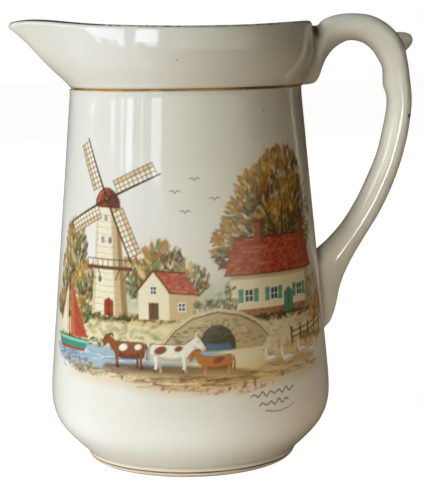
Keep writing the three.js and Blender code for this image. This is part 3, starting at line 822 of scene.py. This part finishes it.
wash((6, 35.5), (30, 4.2), "#dfc089", 0.75)
wash((-34, 37), (24, 3.2), "#e3cb9c", 0.6)
wash((50, 37), (18, 3.6), "#ddbf88", 0.6)
streaks(70, (6, 36), (32, 3.4), ["#b98a4a", "#c99d5c", "#a3713a", "#d6b377"], 9, 0.7, 0.6)
streaks(46, (2, 36.6), (24, 2.0), ["#6e431f", "#83522a", "#4f3018", "#94622f"], 7, 0.75, 0.75)
streaks(34, (44, 38.4), (20, 2.4), ["#8a5a2c", "#b07a3e", "#6b4422"], 7, 0.6, 0.65)
streaks(30, (-44, 39), (18, 2.0), ["#7a5a2a", "#9a7a40", "#5c4420"], 6, 0.6, 0.65)
streaks(16, (14, 31.8), (18, 1.2), ["#c79a5c", "#b5824a"], 6, 0.5, 0.5)
dabs(46, (12, 33.4), (26, 2.2), ["#a8521f", "#c46a2c", "#7c3c1a", "#8a6a2c"], 0.75, 0.85, lean=20)
dabs(50, (-56, 41), (12, 2.2), ["#8c7a3c", "#a98a4c", "#6b5a28"], 1.2, 0.5, lean=10)
for u, z in ((-30, 36.4), (-16, 35), (26, 34.6), (40, 35.6), (56, 37.8), (-48, 38.4)):
    for lean in (-0.9, -0.3, 0.3, 1.0):
        stroke([(u, z), (u + lean * 0.6, z + 1.4), (u + lean * 1.6, z + 2.4)], 0.4, "#5f6a2e", 0.85,
               end_width=0.2)
for u, z in ((-6, 112), (2, 117), (10, 109), (-2, 104)):
    stroke([(u - 2, z + 0.8), (u - 0.8, z + 1.1), (u, z), (u + 0.9, z + 1.2), (u + 2.1, z + 0.7)], 0.4,
           "#5b4a3a", 0.85)

# Two rows of plain wavy strokes at the lower right, which aren't letters.
for start, stop, height in ((24, 46, 29.0), (28, 43, 25.0)):
    across_row = np.arange(start, stop, 0.3)
    lift = (0.75 + 0.35 * np.sin(across_row * 0.55 + height)) * np.sin(across_row * 1.55)
    stroke(np.stack([across_row, height + lift + (across_row - start) * 0.05], axis=1), 0.55, "#7a3b2a", 0.95)
stroke([(31, 22.4), (35, 21.6), (39, 21.5), (43, 22.2), (46, 23.6)], 0.5, "#7a3b2a", 0.9, end_width=0.25)

# A print has a fine grain: the ink is a little uneven.
coarse = chance.normal(0, 1, (up_steps // 3 + 2, across_steps // 3 + 2))
uneven = np.kron(coarse, np.ones((3, 3)))[:up_steps, :across_steps]
canvas[..., :3] *= np.clip(1 + 0.025 * uneven, 0.8, 1.2)[..., None]
canvas *= np.clip(0.98 + 0.015 * uneven, 0, 1)[..., None]


def picture_at(points):
    """The print's ink at points of the wall: linear colour and how far it covers."""
    turn = np.arctan2(points[:, 1], points[:, 0]) - PICTURE_MIDDLE
    turn = (turn + math.pi) % math.tau - math.pi
    u = turn * np.hypot(points[:, 0], points[:, 1])
    height = points[:, 2] - PICTURE_FOOT
    i = np.clip((u - LEFT) / GRAIN, 0, across_steps - 1.001)
    j = np.clip((height - LOW) / GRAIN, 0, up_steps - 1.001)
    i0, j0 = i.astype(int), j.astype(int)
    fi, fj = (i - i0)[:, None], (j - j0)[:, None]
    below = canvas[j0, i0] * (1 - fi) + canvas[j0, i0 + 1] * fi
    above = canvas[j0 + 1, i0] * (1 - fi) + canvas[j0 + 1, i0 + 1] * fi
    ink = below * (1 - fj) + above * fj
    reaches = (u > LEFT) & (u < RIGHT) & (height > LOW) & (height < HIGH)
    return ink * reaches[:, None]


PRINT_TOP = 158


def bears_print(points):
    """Whether points lie on the outside of the wall, below the groove."""
    off_wall = np.abs(np.hypot(points[:, 0], points[:, 1]) - outer_radius(points[:, 2]))
    return (off_wall < 0.4) & (points[:, 2] < PRINT_TOP)


# Only the cells of the wall that carry ink are divided finely enough to hold it.
CELL_CUTS = 8
FAINTEST = 0.03
TRIES = np.array([(a, b) for a in np.linspace(0, 1, 7) for b in np.linspace(0, 1, 7)])
soft.verts.ensure_lookup_table()
spots = np.array([v.co for v in soft.verts]) * 1000
on_wall = bears_print(spots)
inked = []
for face in soft.faces:
    index = [v.index for v in face.verts]
    if len(index) != 4 or not all(on_wall[index]):
        continue
    c0, c1, c2, c3 = spots[index]
    a, b = TRIES[:, :1], TRIES[:, 1:]
    inner = c0 * (1 - a) * (1 - b) + c1 * a * (1 - b) + c2 * a * b + c3 * (1 - a) * b
    if picture_at(inner)[:, 3].max() > FAINTEST:
        inked.append(face)
inked_edges = list(dict.fromkeys(e for f in inked for e in f.edges))
bmesh.ops.subdivide_edges(soft, edges=inked_edges, cuts=CELL_CUTS, use_grid_fill=True)
soft.verts.ensure_lookup_table()
for v in soft.verts[len(spots):]:
    flat = math.hypot(v.co.x, v.co.y)
    grow = outer_radius(v.co.z * 1000) / (flat * 1000)
    v.co.x *= grow
    v.co.y *= grow
bmesh.ops.recalc_face_normals(soft, faces=soft.faces)
soft.to_mesh(joined)
soft.free()
joined.shade_smooth()

points = points_of(joined)
ink = picture_at(points)
off_body, along = on_section(*undrawn(points))
ink *= bears_print(points)[:, None]
colour = ink.copy()
colour[:, :3] /= np.maximum(ink[:, 3:], 0.02)
paint = joined.color_attributes.new("print", "FLOAT_COLOR", "POINT")
paint.data.foreach_set("color", np.clip(colour, 0, 1).astype(np.float32).ravel())

# How far along the section each point of the body lies, in millimetres from the middle of the base, so that
# the gilt lines follow the groove, the foot bead and the lip.
groove_place = float(SECTION_LENGTHS[len(foot + underside + wall) + 2])
lip_place = float(SECTION_LENGTHS[len(outside) - 1])
foot_place = float(SECTION_LENGTHS[12])
on_body = off_body < 0.5
section_place = joined.attributes.new("section_place", "FLOAT", "POINT")
section_place.data.foreach_set("value", np.where(on_body, along, -50).astype(np.float32))

# The groove, the crease above the foot bead, the seams of the handle, the notch over its upper root, the
# patch under that root, the spur and the line at its edge are darkened: partly by dirt and thick glaze
# gathered there, partly by painted shade where these hollows lie in shadow. Places are X and Z in
# millimetres, and the strongest bank counts.
NOTCH_AT, ROOT_AT, SPUR_AT = (56.0, 184.5), (58, 169), (97.5, 179.5)
SEAM_DIRT_AND_SHADE_ON_BODY, SEAM_DIRT_AND_SHADE_ON_HANDLE = 3.2, 2.1
HANDLE_ALONE = 0.5
seam_gap = np.full(len(points), 9.0)
close_by = np.flatnonzero((points[:, 0] > 40) & (np.abs(points[:, 1]) < 22))
for i in close_by:
    seam_gap[i] = math.sqrt(np.min(np.sum((seam_points - points[i]) ** 2, axis=1)))
crease_place = float(SECTION_LENGTHS[15])
up_the_seam = np.clip((points[:, 2] - 150) / 28, 0, 1)
on_handle = off_body > HANDLE_ALONE
dirt_and_shade_reach = np.where(on_handle, SEAM_DIRT_AND_SHADE_ON_HANDLE, SEAM_DIRT_AND_SHADE_ON_BODY)
below_notch = np.where(points[:, 2] < NOTCH_AT[1], 9.5, 2.6)
notch_gap = np.hypot((points[:, 0] - NOTCH_AT[0]) / 2.9, (points[:, 2] - NOTCH_AT[1]) / below_notch)
under_root = np.hypot(points[:, 0] - ROOT_AT[0], points[:, 2] - ROOT_AT[1])
on_spur = np.hypot(points[:, 0] - SPUR_AT[0], points[:, 2] - SPUR_AT[1])
edge_line = smooth_path([s[0] for s in STATIONS], np.linspace(8.2, 9.9, 40))
edge_gap = np.min(np.hypot(points[:, 0, None] - edge_line[:, 0], points[:, 2, None] - edge_line[:, 1]),
                  axis=1)
# Painted shade: the notch, the patch under the upper root, the spur and its edge line are darkened because
# shade falls there; on the seams, the groove and the foot crease, dirt and pooled glaze are mixed with
# painted shade.
dirt_and_shade = np.maximum.reduce([
    (0.5 + 0.4 * up_the_seam) * np.exp(-((seam_gap / dirt_and_shade_reach) ** 2)),
    0.8 * np.exp(-(((along - groove_place) / 0.9) ** 2)) * on_body,
    0.35 * np.exp(-(((along - crease_place) / 1.1) ** 2)) * on_body,
    1.4 * np.exp(-(notch_gap**2) - (points[:, 1] / 12) ** 6),
    0.5 * np.exp(-((under_root / 9.5) ** 2)) * on_handle,
    0.7 * np.exp(-((on_spur / 4.2) ** 4)),
    0.75 * np.exp(-((edge_gap / 0.5) ** 2)) * (np.abs(points[:, 1]) < 5.5),
])
dirt_and_shade_layer = joined.attributes.new("dirt_and_shade", "FLOAT", "POINT")
dirt_and_shade_layer.data.foreach_set("value", dirt_and_shade.astype(np.float32))

# Ivory-glazed earthenware: a warm cream body under a clear lead glaze. It looks wet and deep, with sharp
# reflections that waver, and has iron specks, faint crazing, and brownish grime with painted shade in its
# creases. The print lies on it, and burnished gold is fired over it in thin worn lines.
GLAZE = "#ebe8e0"
GLAZE_POOLED = "#dcd6c1"
# The grime colour darkens the crazing lines, and in the creases it stands for both dirt and painted shade.
GRIME_AND_SHADE = "#6a5433"
SPECK = "#5b4630"
GOLD = "#c98f3a"
GOLD_WORN = "#7d5c33"
GOLD_RUBBED = "#62503a"
glaze = bpy.data.materials.new("ivory_glazed_earthenware")
glaze.use_nodes = True
glaze.node_tree.nodes.clear()


def node(tree, kind, settings=None, inputs=None, out=0):
    """Adds a shader node with its settings and links, and gives one of its outputs."""
    made = tree.nodes.new(kind)
    for name, value in (settings or {}).items():
        setattr(made, name, value)
    for name, value in (inputs or {}).items():
        socket = made.inputs[name]
        if isinstance(value, bpy.types.NodeSocket):
            tree.links.new(value, socket)
        else:
            socket.default_value = (*linear(value), 1) if isinstance(value, str) else value
    return made.outputs[out] if len(made.outputs) else None


MATH, RANGE, MIX, NOISE = "ShaderNodeMath", "ShaderNodeMapRange", "ShaderNodeMix", "ShaderNodeTexNoise"
TIMES, OVER = {"operation": "MULTIPLY"}, {"data_type": "RGBA"}
SMOOTH = {"interpolation_type": "SMOOTHSTEP"}
clay = glaze.node_tree
place = node(clay, "ShaderNodeTexCoord", out="Object")
# The glaze lies thicker, and so yellower, in slow patches 40 mm across.
slow = node(clay, NOISE, inputs={"Vector": place, "Scale": 25.0, "Detail": 2.0})
thick = node(clay, RANGE, SMOOTH, {"Value": slow, 1: 0.35, 2: 0.7, 3: 0.0, 4: 0.3})
base = node(clay, MIX, OVER, {0: thick, 6: GLAZE, 7: GLAZE_POOLED}, 2)
# Painted shade: the creases are darkened with the grime colour, partly for dirt and pooled glaze and partly
# for shade. Where the mark is strongest, in the notch over the handle's upper root and at the top of its
# seams, a near-black painted shadow is laid over it.
dirt_and_shade_at = node(clay, "ShaderNodeAttribute", {"attribute_name": "dirt_and_shade"}, out="Fac")
dirt_and_shade_mix = node(clay, MATH, TIMES, {0: dirt_and_shade_at, 1: 0.6})
base = node(clay, MIX, OVER, {0: dirt_and_shade_mix, 6: base, 7: GRIME_AND_SHADE}, 2)
painted_deep_shadow = node(clay, RANGE, SMOOTH, {"Value": dirt_and_shade_at, 1: 0.8, 2: 1.4, 3: 0.0, 4: 0.85})
base = node(clay, MIX, OVER, {0: painted_deep_shadow, 6: base, 7: "#2b1d0e"}, 2)
# Iron specks about 0.6 mm across, thinly strewn.
spread_out = node(clay, "ShaderNodeTexVoronoi", inputs={"Vector": place, "Scale": 95.0}, out="Color")
kept = node(clay, "ShaderNodeSeparateColor", inputs={0: spread_out})
kept = node(clay, RANGE, SMOOTH, {"Value": kept, 1: 0.9, 2: 0.93, 3: 0.0, 4: 0.8})
speck = node(clay, "ShaderNodeTexVoronoi", inputs={"Vector": place, "Scale": 95.0}, out="Distance")
speck = node(clay, RANGE, SMOOTH, {"Value": speck, 1: 0.045, 2: 0.02, 3: 0.0, 4: 1.0})
speck = node(clay, MATH, TIMES, {0: speck, 1: kept})
base = node(clay, MIX, OVER, {0: speck, 6: base, 7: SPECK}, 2)
# Age has crazed the glaze in cells of 9 mm, so faintly that it only shows close to.
bent = node(clay, NOISE, inputs={"Vector": place, "Scale": 90.0}, out="Color")
bent = node(clay, "ShaderNodeVectorMath", {"operation": "MULTIPLY_ADD"}, {0: bent, 1: (0.006,) * 3, 2: place})
craze = node(clay, "ShaderNodeTexVoronoi", {"feature": "DISTANCE_TO_EDGE"}, {"Vector": bent, "Scale": 110.0})
craze = node(clay, RANGE, SMOOTH, {"Value": craze, 1: 0.022, 2: 0.006, 3: 0.0, 4: 0.02})
base = node(clay, MIX, OVER, {0: craze, 6: base, 7: GRIME_AND_SHADE}, 2)
# The print.
ink_cover = node(clay, "ShaderNodeAttribute", {"attribute_name": "print"}, out="Alpha")
ink_colour = node(clay, "ShaderNodeAttribute", {"attribute_name": "print"}, out="Color")
base = node(clay, MIX, OVER, {0: ink_cover, 6: base, 7: ink_colour}, 2)
# The gilt lines: their edges waver by 0.2 mm, and wear has thinned them, most of all on the lip.
section_at = node(clay, "ShaderNodeAttribute", {"attribute_name": "section_place"}, out="Fac")
waver = node(clay, NOISE, inputs={"Vector": place, "Scale": 60.0})
waver = node(clay, MATH, {"operation": "MULTIPLY_ADD"}, {0: waver, 1: 0.4, 2: section_at})
fine = node(clay, NOISE, inputs={"Vector": place, "Scale": 420.0, "Detail": 3.0, "Roughness": 0.6})
along_jug = node(clay, "ShaderNodeSeparateXYZ", inputs={0: place})
at_spout = node(clay, RANGE, SMOOTH, {"Value": along_jug, 1: -0.036, 2: -0.046, 3: 0.0, 4: 0.24})
kept_at_spout = node(clay, MATH, {"operation": "ADD"}, {0: fine, 1: at_spout})
gilt = 0.0
for middle, half, fade, worn_from, worn_to, gold_left in (
    (groove_place + 0.3, 0.62, 0.12, 0.25, 0.36, fine),
    (foot_place + 0.2, 0.45, 0.12, 0.25, 0.36, fine),
    (lip_place - 0.7, 0.8, 0.35, 0.36, 0.72, kept_at_spout),
):
    off = node(clay, MATH, {"operation": "SUBTRACT"}, {0: waver, 1: middle})
    off = node(clay, MATH, {"operation": "ABSOLUTE"}, {0: off})
    line = node(clay, RANGE, SMOOTH, {"Value": off, 1: half + fade, 2: half - fade, 3: 0.0, 4: 1.0})
    left = node(clay, RANGE, SMOOTH, {"Value": gold_left, 1: worn_from, 2: worn_to, 3: 0.0, 4: 1.0})
    gilt = node(clay, MATH, {"operation": "MULTIPLY_ADD"}, {0: line, 1: left, 2: gilt})
tarnish = node(clay, NOISE, inputs={"Vector": place, "Scale": 70.0, "Detail": 3.0})
tarnish = node(clay, RANGE, SMOOTH, {"Value": tarnish, 1: 0.4, 2: 0.65, 3: 0.0, 4: 1.0})
gold = node(clay, MIX, OVER, {0: tarnish, 6: GOLD, 7: GOLD_WORN}, 2)
on_lip = node(clay, RANGE, SMOOTH, {"Value": section_at, 1: lip_place - 4, 2: lip_place - 2, 3: 0.0, 4: 1.0})
gold = node(clay, MIX, OVER, {0: on_lip, 6: gold, 7: GOLD_RUBBED}, 2)
base = node(clay, MIX, OVER, {0: gilt, 6: base, 7: gold}, 2)
# A small chip on the handle's outer edge shows darker body, and glaze pits lie near the crest, on the collar
# and high on the wall.
hurt = 0.0
for spot, size in (
    ((0.0983, -0.0047, 0.1464), 0.0009), ((0.0987, -0.0042, 0.1460), 0.0008),
    ((0.0752, -0.0052, 0.1878), 0.0004),
    ((0.079, -0.0062, 0.1805), 0.0004), ((-0.0117, -0.0535, 0.173), 0.00028),
    ((0.0247, -0.0437, 0.1517), 0.00028),
):
    near = node(clay, "ShaderNodeVectorMath", {"operation": "DISTANCE"}, {0: place, 1: spot}, "Value")
    near = node(clay, RANGE, SMOOTH, {"Value": near, 1: size * 1.3, 2: size * 0.7, 3: 0.0, 4: 0.9})
    hurt = node(clay, MATH, {"operation": "ADD"}, {0: hurt, 1: near})
base = node(clay, MIX, OVER, {0: hurt, 6: base, 7: "#2e2218"}, 2)

# Glaze is nearly as smooth as glass; fired gold is softer, and a chip is matt.
rough = node(clay, MATH, {"operation": "MULTIPLY_ADD"}, {0: gilt, 1: 0.2, 2: 0.07})
rough = node(clay, MATH, {"operation": "MULTIPLY_ADD"}, {0: hurt, 1: 0.6, 2: rough})
metal = node(clay, MATH, TIMES, {0: gilt, 1: 0.35})
# Its surface wavers over 12 mm, with a fine orange peel over 2 mm.
ripple = node(clay, NOISE, inputs={"Vector": place, "Scale": 80.0, "Detail": 1.0})
peel = node(clay, NOISE, inputs={"Vector": place, "Scale": 450.0})
surface = node(clay, MATH, {"operation": "MULTIPLY_ADD"}, {0: peel, 1: 0.08, 2: ripple})
bump = node(clay, "ShaderNodeBump", inputs={"Strength": 0.16, "Distance": 0.0006, "Height": surface})
shader = node(clay, "ShaderNodeBsdfPrincipled", inputs={
    "Base Color": base, "Roughness": rough, "Metallic": metal, "IOR": 1.52, "Normal": bump,
})
node(clay, "ShaderNodeOutputMaterial", inputs={0: shader})
joined.materials.clear()
joined.materials.append(glaze)

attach(pitcher, "root")
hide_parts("pitcher")

# The floor: a white table top. It throws light back at the jug, and reads as nearly white.
floor_mesh = bmesh.new()
bmesh.ops.create_circle(floor_mesh, cap_ends=True, segments=64, radius=6.0)
floor_data = bpy.data.meshes.new("floor")
floor_mesh.to_mesh(floor_data)
floor_mesh.free()
floor = bpy.data.objects.new("floor", floor_data)
bpy.context.scene.collection.objects.link(floor)
paper = bpy.data.materials.new("white_table_laminate")
paper.use_nodes = True
paper.node_tree.nodes.clear()
top = paper.node_tree
matt = node(top, "ShaderNodeBsdfDiffuse", inputs={"Color": (0.5, 0.4, 0.26, 1)})
glow = node(top, "ShaderNodeEmission", inputs={"Color": (1, 1, 1, 1), "Strength": 0.94})
lit = node(top, "ShaderNodeAddShader", inputs={0: matt, 1: glow})
seen = node(top, "ShaderNodeLightPath", out="Is Camera Ray")
both = node(top, "ShaderNodeMixShader", inputs={0: seen, 1: matt, 2: lit})
node(top, "ShaderNodeOutputMaterial", inputs={0: both})
floor_data.materials.append(paper)

# Soft light: tall window panes at the left front throw streaks down the wall, and the right side stays dim.
# Angles are counted round the jug from the camera's side, to the right.
CAMERA_TURN = math.radians(-99)


def light_at(name, kind, turn, far, high, aim, energy, colour, size=None, shines=False):
    """A lamp at an angle, distance and height, turned to a point. One that shines only shows in the gloss."""
    lamp = bpy.data.lights.new(name, kind)
    lamp.energy = energy
    lamp.color = colour
    if size:
        lamp.shape = "RECTANGLE"
        lamp.size, lamp.size_y = size
    made = bpy.data.objects.new(name, lamp)
    angle = CAMERA_TURN + math.radians(turn)
    spot = Vector((far * math.cos(angle), far * math.sin(angle), high))
    turned = (spot - Vector(aim)).to_track_quat("Z", "Y").to_matrix().to_4x4()
    made.matrix_world = Matrix.Translation(spot) @ turned
    made.visible_camera = False
    made.visible_glossy, made.visible_diffuse = shines, not shines
    bpy.context.scene.collection.objects.link(made)
    return lamp


# The panes: angle, breadth in degrees, lowest and highest edge in metres, and brightness.
PANES_FAR = 2.2
PANES = [
    (-104, 12, 0.28, 1.5, 3.2),
    (-74, 5, 0.28, 0.48, 3.4), (-63, 2.5, 0.28, 0.48, 3.4), (-55, 6.5, 0.28, 0.48, 5.5),
    (-67, 29, 0.48, 1.10, 5.0),
    (-42.5, 2, 0.28, 0.50, 3.4), (-28, 9.5, 0.28, 0.50, 4.6), (-32.5, 20, 0.50, 1.10, 8.0),
    (121.5, 6, 0.2, 1.2, 0.27), (143, 12, 0.2, 1.2, 0.3),
]
for turn, breadth, low, high, brightness in PANES:
    size = 2 * PANES_FAR * math.tan(math.radians(breadth / 2)), high - low
    power = brightness * math.pi * size[0] * size[1]
    middle = (low + high) / 2
    tint = (0.8, 0.9, 1) if turn < 0 else (1, 0.88, 0.68)
    light_at("window_pane", "AREA", turn, PANES_FAR, middle, (0, 0, middle), power, tint, size, True)

# Broad soft boxes give the slow fall of light round the jug, and white cards on the table light the belly.
for name, turn, high, power, tint, size in (
    ("soft_box_left", -98, 0.42, 7.1, (0.87, 0.885, 1), (1.2, 0.7)),
    ("soft_box_side", -60, 0.42, 6.3, (0.87, 0.92, 1), (1.5, 0.7)),
    ("soft_box_front", -38, 0.42, 8.2, (0.9, 1, 0.92), (0.7, 0.7)),
    ("soft_box_back", 178, 0.7, 5.7, (0.96, 0.96, 1), (1.4, 0.7)),
    ("soft_box_high", -54, 1.75, 6.0, (0.93, 1, 0.98), (1.4, 1.0)),
):
    light_at(name, "AREA", turn, 2.0, high, (0, 0, 0.1), power, tint, size)
for turn, far, power, tint in (
    (-120, 0.34, 0.175, (0.9, 0.95, 1)), (-80, 0.34, 0.16, (0.92, 0.94, 1)),
    (-40, 0.34, 0.47, (0.75, 0.84, 1)),
    (0, 0.34, 0.15, (1, 0.66, 0.2)), (25, 0.13, 0.009, (1, 0.97, 0.88)), (60, 0.13, 0.0075, (1, 0.9, 0.8)),
    (95, 0.13, 0.012, (1, 0.88, 0.77)),
):
    light_at("white_card", "AREA", turn, far, 0.02, (0, 0, 0.04), power, tint, (0.6 * far, 0.4 * far))
for turn, power in ((-88, 0.0013), (-58, 0.0019), (-28, 0.0016), (2, 0.0017), (32, 0.001)):
    light_at("foot_card", "AREA", turn, 0.08, 0.005, (0, 0, 0.022), power, (0.72, 0.88, 1), (0.04, 0.006))

# Narrow lamps beside the camera pick out the handle, and a small window at the right draws the line down it.
for aim, high, strength in (((0.079, 0, 0.193), 1.1, 11), ((0.106, 0, 0.168), 0.35, 8),
                            ((0.105, 0, 0.132), 0.35, 9),
                            ((0.094, 0, 0.104), 0.35, 14)):
    snoot = light_at("handle_snoot", "SPOT", -10, 1.4, high, aim, 5 * strength, (1, 0.985, 0.9))
    snoot.spot_size = math.radians(2.4)
    snoot.spot_blend = 1.0
    snoot.shadow_soft_size = 0.05
small = light_at("small_window", "AREA", 33, 0.9, 0.045, (0.150, 0.027, 0.10), 0.009, (1, 1, 1),
                 (0.12, 0.09), True)
small.spread = math.radians(15)

# The room: a cool pale side at the left, and warm dimness elsewhere.
world = bpy.data.worlds.new("soft_room")
bpy.context.scene.world = world
world.use_nodes = True
room = world.node_tree
room.nodes.clear()
direction = node(room, "ShaderNodeTexCoord", out="Generated")
angle = CAMERA_TURN + math.radians(-65)
side = (math.cos(angle), math.sin(angle), 0.1)
near = node(room, "ShaderNodeVectorMath", {"operation": "DOT_PRODUCT"}, {0: direction, 1: side}, "Value")
near = node(room, RANGE, SMOOTH, {"Value": near, 1: 0.1, 2: 0.9, 3: 0.0, 4: 1.0})
around = node(room, MIX, OVER, {0: near, 6: (0.0185, 0.01, 0.003, 1), 7: (0.3, 0.34, 0.36, 1)}, 2)
# The pale wall behind the camera shows softly in the glaze.
angle = CAMERA_TURN + math.radians(18)
ahead_of = node(room, "ShaderNodeVectorMath", {"operation": "DOT_PRODUCT"},
                {0: direction, 1: (math.cos(angle), math.sin(angle), 0)}, "Value")
glossy = node(room, "ShaderNodeLightPath", out="Is Glossy Ray")
pale = node(room, RANGE, SMOOTH, {"Value": ahead_of, 1: 0.5, 2: 1.0, 3: 0.0, 4: 1.0})
pale = node(room, MATH, TIMES, {0: pale, 1: glossy})
around = node(room, MIX, OVER, {0: pale, 6: around, 7: (1.5, 1.5, 1.2, 1)}, 2)
around = node(room, "ShaderNodeBackground", inputs={0: around})
seen = node(room, "ShaderNodeLightPath", out="Is Camera Ray")
plain = node(room, "ShaderNodeBackground", inputs={0: (1, 1, 1, 1)})
both = node(room, "ShaderNodeMixShader", inputs={0: seen, 1: around, 2: plain})
node(room, "ShaderNodeOutputWorld", inputs={0: both})

# The camera: 0.68 m away and just under the rim's height, looking slightly down, turned 9 degrees round from
# the jug's side towards the spout.
DISTANCE, EYE_HEIGHT = 0.6839, 0.18196
PITCH, YAW, ROLL = 0.1339, math.radians(0.862), 0.0152
SIDE = math.radians(9)
camera_data = bpy.data.cameras.new("camera")
camera_data.lens = 114.07
camera_data.sensor_width = 36
camera_data.sensor_fit = "AUTO"
camera_data.clip_end = 50
camera = bpy.data.objects.new("camera", camera_data)
heading = SIDE + YAW
ahead = Vector((math.sin(heading) * math.cos(PITCH), math.cos(heading) * math.cos(PITCH), -math.sin(PITCH)))
level_right = Vector((math.cos(heading), -math.sin(heading), 0))
up = level_right.cross(ahead)
right = level_right * math.cos(ROLL) - up * math.sin(ROLL)
up = up * math.cos(ROLL) + level_right * math.sin(ROLL)
eye = Vector((-DISTANCE * math.sin(SIDE), -DISTANCE * math.cos(SIDE), EYE_HEIGHT))
camera.matrix_world = Matrix.Translation(eye) @ Matrix((right, up, -ahead)).transposed().to_4x4()
bpy.context.scene.collection.objects.link(camera)
bpy.context.scene.camera = camera
bpy.context.scene.view_settings.view_transform = "Standard"
